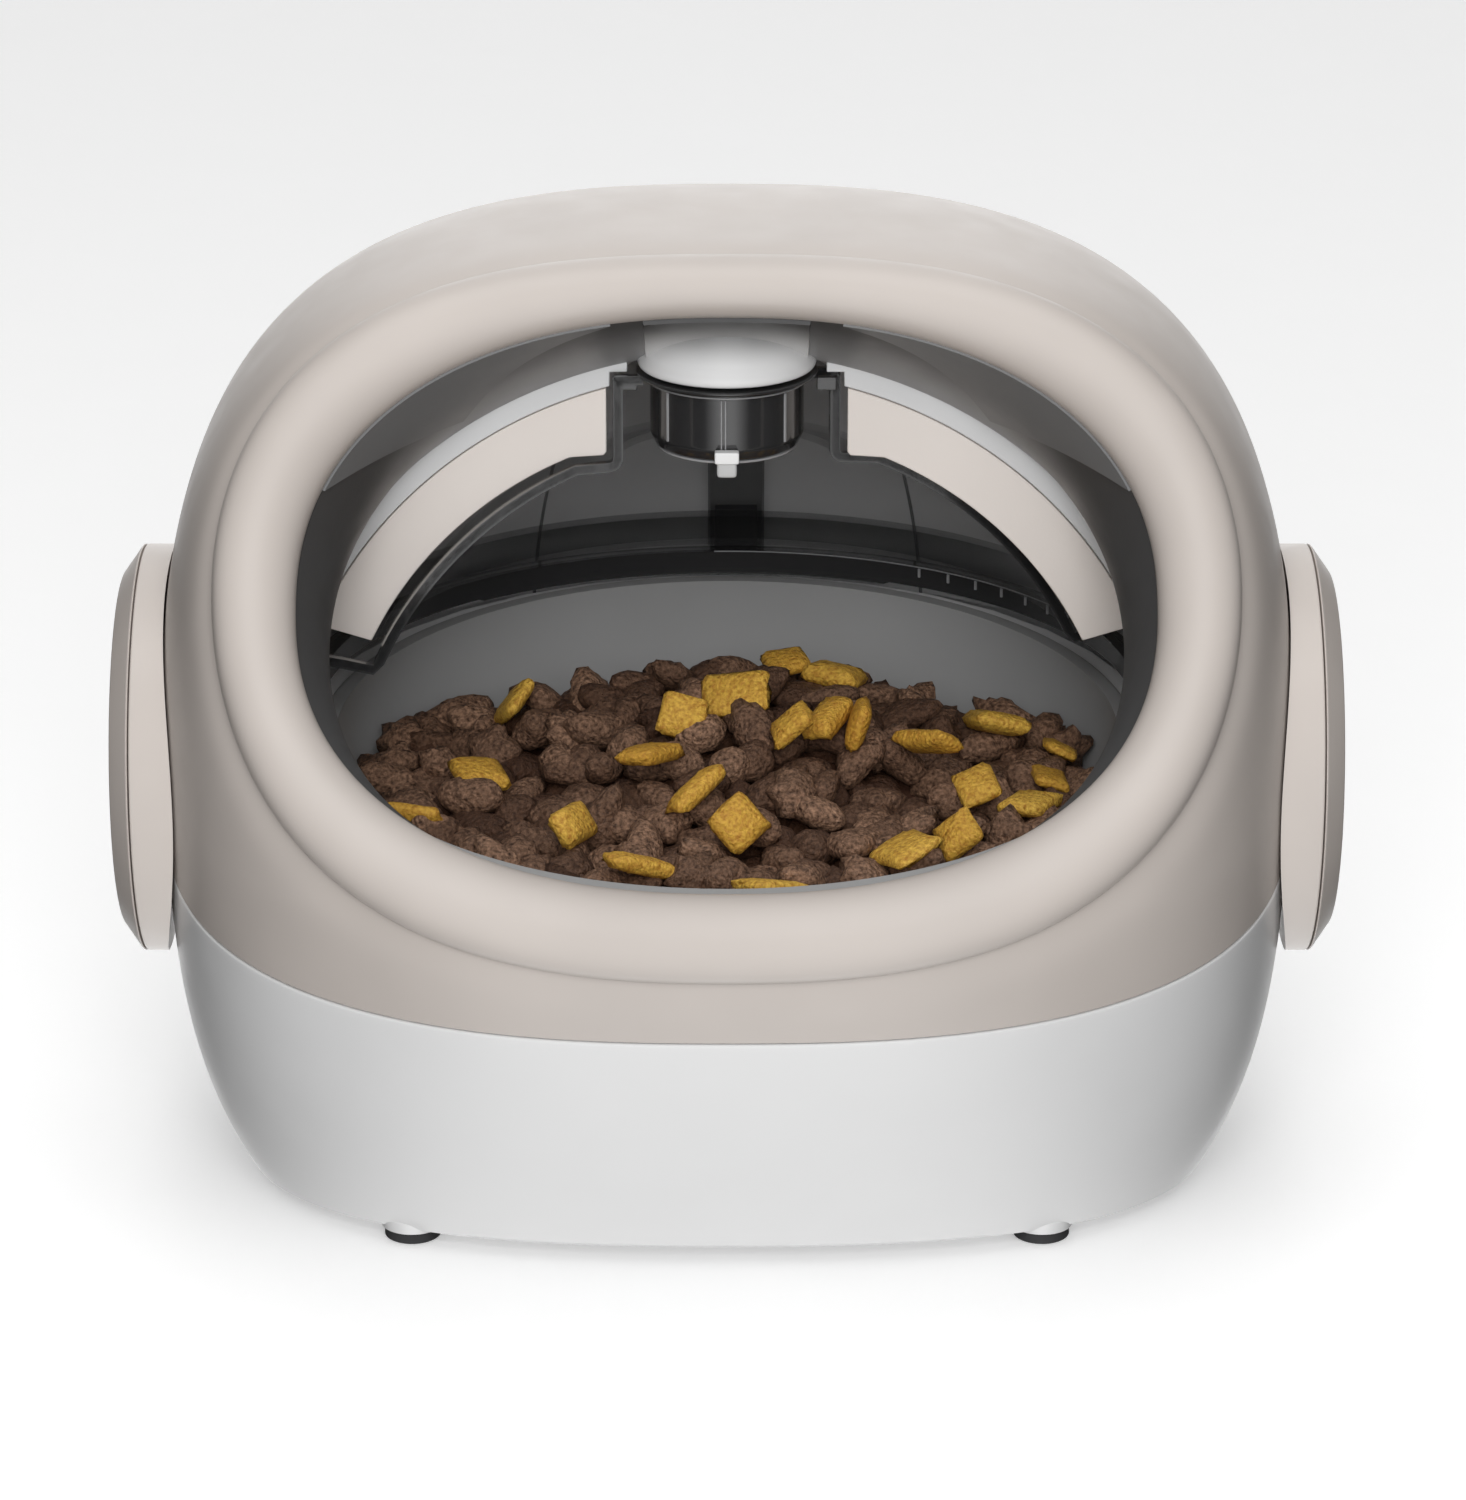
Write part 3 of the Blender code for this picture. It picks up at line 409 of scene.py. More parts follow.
# %% [markdown]
# ## Upper shell
# The greige cover is a thin moulded shell. It could be sculpted from a subdivided box, but its outline has
# to match the frame everywhere, so it is swept instead: from the seam, directions swing to the opening, and
# each ray is followed to the body's surface. Close to the opening the surface dips into a soft valley, from
# which the rim rises. The lower edge is rounded over, which gives the thin dark joint above the white base.

# %% Upper shell
BODY_AROUND = 320
VALLEY_DEPTH, VALLEY_REACH = 0.0016, 0.0075
loop_angles = even_angles(BODY_AROUND)


def rounded_edge(loop_at, side):
    """Rows that roll a wall's edge over a quarter round; side is 1 for an edge that looks down, -1 for up."""
    rows = []
    for bend in np.linspace(math.pi / 2, 0.0, 5):
        loop = loop_at(side * (SEAM_LIFT + SEAM_ROUND * (1 - math.sin(bend))))
        rows.append(loop - outward(loop) * SEAM_ROUND * (1 - math.cos(bend)))
    return np.array(rows)


lower_edge = rounded_edge(lambda lift: seam_loop(loop_angles, lift), 1)
seam_way = unit(lower_edge[-1] - BODY_CENTRE)
opening_edge = on_body(BODY_CENTRE, opening_loop(loop_angles))
opening_way = unit(opening_edge - BODY_CENTRE)
share = (1 - np.cos(np.linspace(0.0, math.pi, 90)[1:])) / 2
ways = seam_way * (1 - share[:, None, None]) + opening_way * share[:, None, None]
shell_rows = on_body(BODY_CENTRE, BODY_CENTRE + ways)
to_edge = np.linalg.norm(shell_rows - opening_edge, axis=-1)
dip = VALLEY_DEPTH * np.exp(-((to_edge / VALLEY_REACH) ** 2))
shell_outer = np.concatenate([lower_edge, shell_rows - outward(shell_rows) * dip[..., None]])
shell_base = np.concatenate([lower_edge, shell_rows])
shell_inner = shell_base - outward(shell_base) * WALL
upper_shell = walled("cover_shell", shell_outer, shell_inner, wrap=True, sharp=50)
seat(upper_shell, "cover", "greige_shell", greige, "upper_shell")

# %% [markdown]
# ## Front rim
# A fat bead runs round the opening. Its section is a half oval whose feet reach down past the surface, into
# the valley outside and over the tunnel wall inside. The section is carried round the loop: its middle and
# half width come from the outer and the inner loop, its height points out of the leaning plane.

# %% Front rim
rim_angles = even_angles(360)
rim_outer = on_body(BODY_CENTRE, opening_loop(rim_angles, inset=0.0007))
rim_inner = opening_loop(rim_angles, inset=RIM_WIDTH + 0.0007)
rim_turns = np.linspace(-0.42, math.pi + 0.30, 34)[:, None, None]
rim_middle, rim_half = (rim_outer + rim_inner) / 2, (rim_outer - rim_inner) / 2
rim_grid = rim_middle + rim_half * np.cos(rim_turns) + FORWARD * RIM_HEIGHT * np.sin(rim_turns)
front_rim = skin("rim_bead", rim_grid, wrap_rows=True, sharp=50)
seat(front_rim, "cover", "greige_shell", greige, "front_rim")

# %% [markdown]
# ## Ears
# The round disc on each side is two mouldings: a thick band whose inner face follows the body, and a cap
# with a chamfered edge. Both are rows of circles about the X axis. The band's inner rows take their x from
# the body's form, the others from a softened profile of (radius, x).

# %% Ears
EAR_Z, EAR_RADIUS, EAR_FACE_RADIUS, EAR_FACE_X, EAR_CHAMFER = 0.1164, 0.0547, 0.0473, 0.1615, 0.0056
EAR_GAP = 0.0003
ear_angles = full_turn(160)


def ear_circles(radii):
    """(y, z) of circles of those radii about the ear's middle."""
    return radii[:, None] * np.cos(ear_angles), EAR_Z + radii[:, None] * np.sin(ear_angles)


def ear_rows(side, radii, reaches):
    """The circles in space, each at its x (a number, or a value for every angle)."""
    y, z = ear_circles(radii)
    return np.stack([side * np.broadcast_to(reaches, y.shape), y, z], axis=-1)


def body_reach(radii):
    """The body's half width behind each point of those circles, never below the waist, plus a hair."""
    y, z = ear_circles(radii)
    wide, deep = shares(np.maximum(z, WAIST_Z))
    along = np.abs(y - MIDDLE_Y) / (HALF_DEPTH * deep)
    return HALF_WIDTH * wide * (1 - along**PLAN_POWER) ** (1 / PLAN_POWER) + 0.0006


split_x = EAR_FACE_X - EAR_CHAMFER
hidden_radii = np.linspace(0.0, EAR_RADIUS, 12)
band_x = split_x - EAR_GAP
band_profile = softened([(EAR_RADIUS, 0.1530), (EAR_RADIUS, band_x), (0.0, band_x)], 0.0006)
cap_profile = softened(
    [(0.0, split_x), (EAR_RADIUS, split_x), (EAR_RADIUS, split_x + 0.0004), (EAR_FACE_RADIUS, EAR_FACE_X),
     (0.0, EAR_FACE_X)],
    0.0008,
)
for side, name in ((-1, "ear_left"), (1, "ear_right")):
    hidden = ear_rows(side, hidden_radii, body_reach(hidden_radii))
    band = ear_rows(side, band_profile[1:, 0], band_profile[1:, 1][:, None])
    piece = skin(name + "_band", np.concatenate([hidden, band]), sharp=50)
    seat(piece, "cover", "greige_shell", greige, name)
    cap = skin(name + "_lid", ear_rows(side, cap_profile[:, 0], cap_profile[:, 1][:, None]), sharp=25)
    seat(cap, "cover", "greige_shell", greige, name + "_cap")

# %% [markdown]
# ## Base shell
# The white base narrows towards the floor. Its rays start from a point on the body's middle line, so rows
# run evenly from the flat bottom to the seam. The top edge is rolled over like the cover's. The holes for
# buttons, light and inlet are cut at once with Boolean modifiers that are then applied, so the finished
# mesh is plain.

# %% Base shell
BUTTON_Z, BUTTON_X, BUTTON_RADIUS = 0.1000, 0.0140, 0.0050
INLET_X, INLET_Z = 0.0400, 0.0880
HOLE_FROM_Y, HOLE_TO_Y = 0.115, 0.150


def foot_loop(angles):
    """The body's outline at its flat foot."""
    wide, deep = shares(np.array(FLOOR_GAP))
    x = HALF_WIDTH * wide * signed_power(np.cos(angles), 2 / PLAN_POWER)
    y = MIDDLE_Y + HALF_DEPTH * deep * signed_power(np.sin(angles), 2 / PLAN_POWER)
    return np.stack([x, y, np.full_like(x, FLOOR_GAP)], axis=-1)


def bored(piece, centres, radii, low_y, high_y):
    """The piece with round holes along Y, each a cylinder taken away by an applied Boolean."""
    around = full_turn(40)
    for (x, z), radius in zip(centres, radii):
        circle_x, circle_z = x + radius * np.cos(around), z + radius * np.sin(around)
        circle = np.stack([circle_x, np.zeros_like(around), circle_z], axis=-1)
        ends = circle + np.array([[[0.0, low_y, 0.0]], [[0.0, high_y, 0.0]]])
        drill = skin("drill", ends, cap=True)
        hole = piece.modifiers.new("hole", "BOOLEAN")
        hole.operation = "DIFFERENCE"
        hole.object = drill
        cut = bpy.data.meshes.new_from_object(piece.evaluated_get(bpy.context.evaluated_depsgraph_get()))
        piece.modifiers.clear()
        piece.data = cut
        bpy.data.objects.remove(drill)
    piece.data.shade_smooth()
    piece.data.set_sharp_from_angle(angle=math.radians(50))
    return piece


base_middle = np.array([0.0, MIDDLE_Y, 0.0950])
top_edge = rounded_edge(lambda lift: seam_loop(loop_angles, lift), -1)[::-1]
foot_edge = foot_loop(loop_angles)
share = np.linspace(0.0, 1.0, 44)[1:, None, None]
rows = on_body(base_middle, foot_edge * (1 - share) + top_edge[0] * share)
base_outer = np.concatenate([foot_edge[None], rows[:-1], top_edge])
base_inner = base_outer - outward(base_outer) * WALL
base_inner[0, :, 2] = FLOOR_GAP
base_shell = walled("base_body", base_outer, base_inner, wrap=True, sharp=50)
hole_places = [(-BUTTON_X, BUTTON_Z), (BUTTON_X, BUTTON_Z), (0.0, BUTTON_Z), (INLET_X, INLET_Z)]
hole_radii = [BUTTON_RADIUS + 0.0004, BUTTON_RADIUS + 0.0004, 0.0022, 0.0062]
bored(base_shell, hole_places, hole_radii, HOLE_FROM_Y, HOLE_TO_Y)
seat(base_shell, "base", "white_shell", white, "base_shell")

# %% [markdown]
# ## Feet
# Each foot is a rubber disc with rounded edges under a small white boss of the base. Both are turned
# profiles, moved to the foot's place in the mesh itself, so the objects stay at the origin.

# %% Feet
FOOT_X, FOOT_Y, FOOT_RADIUS = 0.0837, 0.0590, 0.0076
rubber_profile = softened(
    [(0.0, 0.0044), (FOOT_RADIUS - 0.0004, 0.0044), (FOOT_RADIUS, 0.0), (0.0, 0.0)], 0.0008
)
boss_profile = softened(
    [(0.0, 0.0068), (0.0088, 0.0068), (0.0084, 0.0032), (0.0070, 0.0032), (0.0070, 0.0046), (0.0, 0.0046)],
    0.0004,
)
for number, (sx, sy) in enumerate(((-1, -1), (1, -1), (-1, 1), (1, 1)), start=1):
    place = np.array([sx * FOOT_X, sy * FOOT_Y, 0.0])
    foot = skin(f"rubber_foot_{number}", turned_grid(rubber_profile, full_turn(48)) + place)
    seat(foot, "base", "foot_rubber", rubber, f"foot_{number}")
    boss = skin(f"foot_boss_{number}", turned_grid(boss_profile, full_turn(48)) + place)
    seat(boss, "base", "white_shell", white)

# %% [markdown]
# ## Tunnel wall
# From the rim's inner edge a dark wall runs back to the flat arch; its grey is painted lighter towards the
# arch, a painted light for the light that reaches it through the opening. It is a ruled surface: each point
# of the front loop is joined to a point of the arch's circle, and near its two low ends it bulges outwards
# to clear the bowl. Towards the upper corners a thicker panel lies on it, wide at its low end and tapering
# to the top; its paler grey is a painted reflection of the rim.

# %% Tunnel wall
DOME_Z, DOME_RADIUS, DOME_FOOT_Z, LINER_WALL = 0.1015, 0.1286, 0.1210, 0.0016
LOW_BULGE, LOW_REACH, TUNNEL_BACK = 0.027, 0.09, 0.1260
FRONT_START, FRONT_SWEEP = -80.0, 340.0
PANEL_LOW, PANEL_CORNER, PANEL_TOP, PANEL_WIDTH = 159.0, 151.0, 103.0, 0.78


def painted_light_ramp(name, low, high, axis, low_at, high_at, roughness):
    """Painted light and shade: a colour that eases from one tone to another between two places on an axis."""
    material, tree, shader, place = node_tools(name)
    split = tree.nodes.new("ShaderNodeSeparateXYZ")
    tree.links.new(place, split.inputs["Vector"])
    ranged = tree.nodes.new("ShaderNodeMapRange")
    ranged.interpolation_type = "SMOOTHSTEP"
    ranged.inputs["From Min"].default_value = low_at
    ranged.inputs["From Max"].default_value = high_at
    tree.links.new(split.outputs[axis], ranged.inputs["Value"])
    tree.links.new(tinted(tree, ranged.outputs["Result"], low, high), shader.inputs["Base Color"])
    patchy = spread(tree, noise(tree, place, 90.0, 4.0), roughness * 0.9, roughness * 1.1)
    tree.links.new(patchy, shader.inputs["Roughness"])
    bumped(tree, shader, noise(tree, place, 1400.0), 0.00003)
    return material


def tunnel_wall(along, way, lift=0.0):
    """Points of the wall: along from one low end to the other, way from the rim to the arch, lift inwards."""
    front_angles = np.radians(FRONT_START + FRONT_SWEEP * along)
    front = opening_loop(front_angles, inset=RIM_WIDTH + 0.0006, back=0.0009)
    foot = math.asin((DOME_FOOT_Z - DOME_Z) / DOME_RADIUS)
    back_angles = foot + (math.pi - 2 * foot) * along
    back = TUNNEL_BACK * np.stack([np.cos(back_angles), np.zeros_like(along), np.sin(back_angles)], axis=-1)
    back = back + np.array([0.0, -0.0018, DOME_Z])
    row = front * (1 - way[..., None]) + back * way[..., None]
    radial = unit(row * np.array([1.0, 1.0, 0.0]) + np.array([0.0, 1e-9, 0.0]))
    low_ends = np.exp(-((along / LOW_REACH) ** 2)) + np.exp(-(((1 - along) / LOW_REACH) ** 2))
    bulge = 4 * way * (1 - way) * LOW_BULGE * low_ends
    middle = np.stack([np.zeros_like(along), row[..., 1], np.full_like(along, 0.150)], axis=-1)
    return row + radial * bulge[..., None] + unit(middle - row) * lift


along, way = np.meshgrid(np.linspace(0.0, 1.0, 300), np.linspace(0.0, 1.0, 50))
tunnel = walled("tunnel_wall", tunnel_wall(along, way), tunnel_wall(along, way, -LINER_WALL))
# Painted light: the wall's grey runs from dark at the rim to lighter at the arch.
tunnel_painted_light = painted_light_ramp("tunnel_painted_light", (0.085, 0.085, 0.086), (0.36, 0.36, 0.365), "Y", -0.036, -0.002, 0.45)
seat(tunnel, "cover", "liner_grey", tunnel_painted_light, "tunnel_liner")

# %% [markdown]
# The panels lie on the same ruled surface; their paler grey is a painted reflection of the rim in the wall.
# Each runs between two angles of the front loop, and its width rises from nothing at the top to a corner,
# then falls quickly to the low end. The right one is the left one's mirror image.

# %% Tunnel panels
degrees = np.linspace(PANEL_TOP, PANEL_LOW, 120)
rise = np.clip((degrees - PANEL_TOP) / (PANEL_CORNER - PANEL_TOP), 0.0, 1.0) ** 0.85
fall = np.clip((PANEL_LOW - degrees) / (PANEL_LOW - PANEL_CORNER), 0.0, 1.0)
left_along = np.broadcast_to((degrees - FRONT_START) / FRONT_SWEEP, (24, 120))
panel_way = np.linspace(0.0, 1.0, 24)[:, None] * PANEL_WIDTH * rise * fall
# Painted reflection: a paler grey patch where the rim shows in the glossy wall.
for name, along in (("tunnel_reflection_left", left_along), ("tunnel_reflection_right", 1 - left_along)):
    panel = walled(name, tunnel_wall(along, panel_way, 0.0007), tunnel_wall(along, panel_way, -0.0002))
    seat(panel, "cover", "liner_grey", panel_grey)

# %% [markdown]
# Along the roof of the tunnel a flat fairing, as wide as the hub, carries the motor's wires forward to the
# rim. It follows the same ruled surface a little proud of it, so it is cut from the same function: the two
# ends of each row are where the wall is that wide. Its colour is painted light and shade: dark near the rim,
# where the roof is in shadow, and white towards the hub, like the lit foot of the boss.

# %% Roof fairing
FAIRING_HALF = 0.0215
fairing_way = np.linspace(0.02, 0.96, 24)
fine_along = np.linspace(0.30, 0.70, 2001)
left_side, right_side = [], []
for one_way in fairing_way:
    wall_x = tunnel_wall(fine_along, np.full_like(fine_along, one_way))[:, 0]
    right_side.append(np.interp(-FAIRING_HALF, -wall_x, fine_along))
    left_side.append(np.interp(FAIRING_HALF, -wall_x, fine_along))
share = np.linspace(0.0, 1.0, 24)
fairing_along = np.array(right_side)[:, None] * (1 - share) + np.array(left_side)[:, None] * share
fairing_ways = np.broadcast_to(fairing_way[:, None], fairing_along.shape)
fairing = walled("roof_fairing", tunnel_wall(fairing_along, fairing_ways, 0.0012),
                 tunnel_wall(fairing_along, fairing_ways, -0.0002))
# Painted light and shade: grey near the rim, white near the hub.
seat(fairing, "cover", "liner_grey",
     painted_light_ramp("fairing_painted_light", (0.07, 0.07, 0.071), (0.74, 0.74, 0.74), "Y", -0.036, -0.010, 0.45))

# %% [markdown]
# ## Dome liner
# Behind the arch the cover is lined by half a round dome. Its profile is an arc, turned half a turn. Two
# thin ribs stand on it, as the real moulding shows behind the shutter.

# %% Dome liner
foot_angle = math.asin((DOME_FOOT_Z - DOME_Z) / DOME_RADIUS)
top_angle = math.acos(0.0244 / DOME_RADIUS)
half_turn = np.linspace(0.0, math.pi, 181)


def arc(radius, first, last, count=60):
    """(radius, height) points of an arc round the dome's centre."""
    bends = np.linspace(first, last, count)
    return np.stack([radius * np.cos(bends), DOME_Z + radius * np.sin(bends)], axis=-1)


inside = turned_grid(arc(DOME_RADIUS, top_angle, foot_angle), half_turn)
outside = turned_grid(arc(DOME_RADIUS + LINER_WALL, top_angle, foot_angle), half_turn)
dome = walled("dome_wall", outside, inside)
seat(dome, "cover", "liner_grey", dome_grey, "dome_liner")

for name, angle in (("dome_rib_right", math.radians(64.0)), ("dome_rib_left", math.radians(116.0))):
    width = np.radians([-0.16, 0.16]) + angle
    high = turned_grid(arc(DOME_RADIUS - 0.0007, math.radians(36.0), foot_angle, 30), width)
    low = turned_grid(arc(DOME_RADIUS + 0.0002, math.radians(36.0), foot_angle, 30), width)
    seat(walled(name, high, low), "cover", "liner_grey", panel_grey)

# %% [markdown]
# ## Arch and trim
# A flat beige arch stands in the plane of the hub, with a square notch for it, and a pale trim ring runs
# outside. Both are flat plates, so each is an outline given a thickness, its edges taken off by a small
# Bevel. The arch's outer strip runs on down to the foot as a narrow lip.

# %% Arch and trim
TRIM_RADIUS, ARCH_RADIUS, ARCH_INNER, ARCH_THICKNESS, ARCH_HUB_X = 0.1275, 0.1201, 0.1053, 0.0024, 0.0318
ARCH_STEP_X, ARCH_END, LIP_END = 0.0415, math.radians(24.6), math.radians(11.0)
TRIM_HUB_X, TRIM_TOP_X, TRIM_TOP_Z = 0.0308, 0.0262, 0.2218


def plate(name, outline, bevel=0.0003):
    """A flat outline of (x, z) points, as thick as the arch, with bevelled edges."""
    points = np.stack([outline[:, 0], np.zeros(len(outline)), outline[:, 1]], axis=-1)
    half = np.array([0.0, ARCH_THICKNESS / 2, 0.0])
    piece = skin(name, np.stack([points - half, points + half]), cap=True, sharp=30)
    edge = piece.modifiers.new("edge", "BEVEL")
    edge.width = bevel
    edge.segments = 2
    edge.limit_method = "ANGLE"
    edge.angle_limit = math.radians(60)
    return piece


notch_z = DOME_Z + math.sqrt(ARCH_INNER**2 - ARCH_STEP_X**2)
arch_outline = np.concatenate([
    arc(ARCH_RADIUS - 0.0008, LIP_END, ARCH_END, 10),
    arc(ARCH_INNER, math.radians(25.6), math.acos(ARCH_STEP_X / ARCH_INNER), 70),
    [(ARCH_HUB_X + 0.0008, notch_z + 0.0006), (ARCH_HUB_X, notch_z + 0.0016)],
    arc(ARCH_RADIUS, math.acos(ARCH_HUB_X / ARCH_RADIUS), LIP_END, 70),
])
trim_outline = np.concatenate([
    arc(ARCH_RADIUS + 0.0003, foot_angle, math.acos(TRIM_HUB_X / ARCH_RADIUS), 70),
    [(TRIM_HUB_X, TRIM_TOP_Z), (TRIM_TOP_X, TRIM_TOP_Z)],
    arc(TRIM_RADIUS, math.acos(TRIM_TOP_X / TRIM_RADIUS), foot_angle, 70),
])
for side, word in ((-1, "left"), (1, "right")):
    mirror = np.array([side, 1.0])
    arm = plate(f"arch_arm_{word}", arch_outline * mirror)
    seat(arm, "cover", "greige_arch", greige_flat, f"arch_{word}")
    trim = plate(f"arch_ring_{word}", trim_outline * mirror)
    seat(trim, "cover", "trim_grey", trim_grey, f"arch_trim_{word}")

# %% [markdown]
# ## Hub housing
# The white boss that carries the axle comes down from the dark roof of the cover. It widens to a lip at its
# foot. Only its low end catches the light from the opening, so its colour runs from white at the lip to
# grey above, by the height of the point.

# %% Hub housing
CUP_RADIUS, CUP_FOOT_Z, CUP_TOP_Z, HOUSING_RADIUS, AXLE_HOLE = 0.0203, 0.2020, 0.2228, 0.0236, 0.0041
housing_foot = CUP_TOP_Z + 0.0008
hub_white = painted_light_ramp("hub_white", (0.84, 0.84, 0.84), (0.24, 0.24, 0.242), "Z", 0.2270, 0.2385, 0.4)
housing_profile = softened(
    [(AXLE_HOLE, 0.2462), (0.0215, 0.2462), (0.0212, 0.2330), (0.0218, 0.2290), (0.0234, 0.2262),
     (HOUSING_RADIUS, 0.2250), (HOUSING_RADIUS - 0.0004, 0.2240), (HOUSING_RADIUS - 0.0016, housing_foot),
     (AXLE_HOLE, housing_foot), (AXLE_HOLE, 0.2400)],
    0.0010,
)
housing = skin("hub_boss", turned_grid(housing_profile, full_turn(128)), wrap_rows=True, sharp=60)
seat(housing, "cover", "white_hub", hub_white, "hub_housing")

# %% [markdown]
# ## Smoked cup
# Under the boss hangs a smoked, clear cup. Clear mouldings show mostly at their edges, where light runs
# inside the wall, so the body is a dark see-through turned wall, and the gleams are painted highlights, laid
# on as pieces of a paler clear plastic: upright strips, a fine ring round the foot and one under the flange.
# Two tabs stand out at the sides.

# %% Smoked cup
CUP_FLANGE = 0.0240
cup_inside = CUP_RADIUS - 0.0016
cup_profile = softened(
    [(0.0, CUP_FOOT_Z + 0.0016), (cup_inside - 0.0026, CUP_FOOT_Z + 0.0016),
     (cup_inside, CUP_FOOT_Z + 0.0042), (cup_inside, CUP_TOP_Z), (CUP_FLANGE, CUP_TOP_Z),
     (CUP_FLANGE, CUP_TOP_Z - 0.0009), (CUP_RADIUS, CUP_TOP_Z - 0.0015), (CUP_RADIUS, CUP_FOOT_Z + 0.0040),
     (CUP_RADIUS - 0.0012, CUP_FOOT_Z + 0.0012), (CUP_RADIUS - 0.0040, CUP_FOOT_Z), (0.0, CUP_FOOT_Z)],
    0.0008,
)
cup = skin("cup_wall", turned_grid(cup_profile, full_turn(128)), sharp=60)
seat(cup, "shutter", "smoked_clear", smoke_edge, "hub_cup")


# %% [markdown]
# The painted highlights are fine softened bars: a strip's section is carried up the wall, a ring's round
# section is turned about the hub's axis.

# %% Painted highlights on the cup
HIGHLIGHT_PROUD = 0.0003


def cup_highlight_strip(name, angle, width):
    """An upright pale strip, a painted highlight on the cup's wall: a softened box section carried up, bent
    to the cup's round.
    """
    side, top = width / 2, HIGHLIGHT_PROUD
    corners = [(0.0, -top), (side, -top), (side, top), (-side, top), (-side, -top), (0.0, -top)]
    section = softened(corners, 0.0002, 4)
    heights = np.linspace(CUP_FOOT_Z + 0.0046, CUP_TOP_Z - 0.0030, 6)[:, None]
    turn = angle + section[:, 0] / CUP_RADIUS
    radius = CUP_RADIUS + section[:, 1]
    grid = np.stack(np.broadcast_arrays(radius * np.cos(turn), radius * np.sin(turn), heights), axis=-1)
    return seat(skin(name, grid[:, :-1], cap=True), "shutter", "smoked_clear", highlight_and_tick_clear)


def highlight_ring(name, radius, height, thickness, angles=None):
    """A thin pale ring of round section about the hub's axis, a painted highlight, or part of one with closed
    ends.
    """
    turn = full_turn(14)
    profile = np.stack([radius + thickness * np.cos(turn), height + thickness * np.sin(turn)], axis=-1)
    whole = angles is None
    grid = turned_grid(profile, full_turn(128) if whole else angles)
    piece = skin(name, grid, wrap_rows=True, wrap_columns=whole, cap=not whole)
    return seat(piece, "shutter", "smoked_clear", highlight_and_tick_clear)


# Painted highlights: pale strips where the smoked cup shows bright lines.
cup_highlight_strips = ((-139.4, 0.0008), (-94.0, 0.0004), (-91.0, 0.0004), (-41.8, 0.0008))
for number, (angle, width) in enumerate(cup_highlight_strips, start=1):
    cup_highlight_strip(f"cup_highlight_strip_{number}", math.radians(angle), width)
highlight_ring("cup_foot_gleam", CUP_RADIUS - 0.0020, CUP_FOOT_Z + 0.0004, 0.00035)
highlight_ring("cup_flange_gleam", 0.0213, CUP_TOP_Z - 0.0022, 0.00025)

# %% [markdown]
# The side tabs and the white pin are small boxes with round edges. A box could be bevelled, but a
# superellipsoid gives one smooth closed grid at once, and its power says how square it is.

# %% Tabs and pin
TAB_X, TAB_HALF, TAB_LOW_Z, TAB_HIGH_Z = 0.0262, 0.0026, 0.2174, 0.2209
TONGUE_HALF, HEAD_FOOT_Z, TONGUE_TOP_Z = 0.0026, 0.2034, 0.2040


def rounded_box(name, low, high, soft, slot_name, material, *stands_for):
    """A superellipsoid: a ball's sines and cosines, each raised to a power under 1, which squares it."""
    low, high = np.array(low), np.array(high)
    rise = np.linspace(-math.pi / 2, math.pi / 2, 17)[:, None]
    turn = full_turn(32)[None, :]
    flat = signed_power(np.cos(rise).round(9), soft)
    ball = np.stack(np.broadcast_arrays(
        flat * signed_power(np.cos(turn), soft),
        flat * signed_power(np.sin(turn), soft),
        signed_power(np.sin(rise), soft),
    ), axis=-1)
    grid = (low + high) / 2 + ball * (high - low) / 2
    return seat(skin(name, grid, sharp=60), "shutter", slot_name, material, *stands_for)


for name, x in (("cup_tab_left", -TAB_X), ("cup_tab_right", TAB_X)):
    rounded_box(name, (x - TAB_HALF, -0.0030, TAB_LOW_Z), (x + TAB_HALF, -0.0008, TAB_HIGH_Z), 0.15,
                "smoked_clear", smoke_edge)
pin_low, pin_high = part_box("hub_pin")
rounded_box("pin_head", (pin_low.x, pin_low.y, HEAD_FOOT_Z), tuple(pin_high), 0.2, "white_hub",
            plastic("pin_white", (0.86, 0.86, 0.86), 0.35), "hub_pin")
rounded_box("pin_tongue", (-TONGUE_HALF, pin_low.y + 0.0004, pin_low.z),
            (TONGUE_HALF, pin_high.y, TONGUE_TOP_Z), 0.35, "white_hub",
            plastic("pin_grey", (0.55, 0.55, 0.55), 0.35))

# %% [markdown]
# ## Shutter
# The half dome that closes over the bowl is one smoked clear moulding: a sleeve round the cup, a shoulder,
# the dome, a step and a skirt. Its outline is one softened profile, with the inner wall 1.8 mm in. The free
# edges are the lines that the eye reads, so a darker frame is laid along each, with the profile as its
# path.

# %% Shutter
SHUTTER_RADIUS, SKIRT_RADIUS, SHUTTER_WALL = 0.1038, 0.1185, 0.0018
SHUTTER_START, SHUTTER_SWEEP = math.radians(8.0), math.radians(180.0)
RING_FOOT_Z, RING_TOP_Z = 0.1294, 0.1353
SHOULDER_R, STEP_Z = 0.0405, 0.1440
shoulder_z = DOME_Z + math.sqrt(SHUTTER_RADIUS**2 - SHOULDER_R**2)
step_r = math.sqrt(SHUTTER_RADIUS**2 - (STEP_Z - DOME_Z) ** 2)


def skirt(z):
    """The skirt's radius at height z: a slice of a ball round the dome's centre."""
    return np.sqrt(SKIRT_RADIUS**2 - (z - DOME_Z) ** 2)


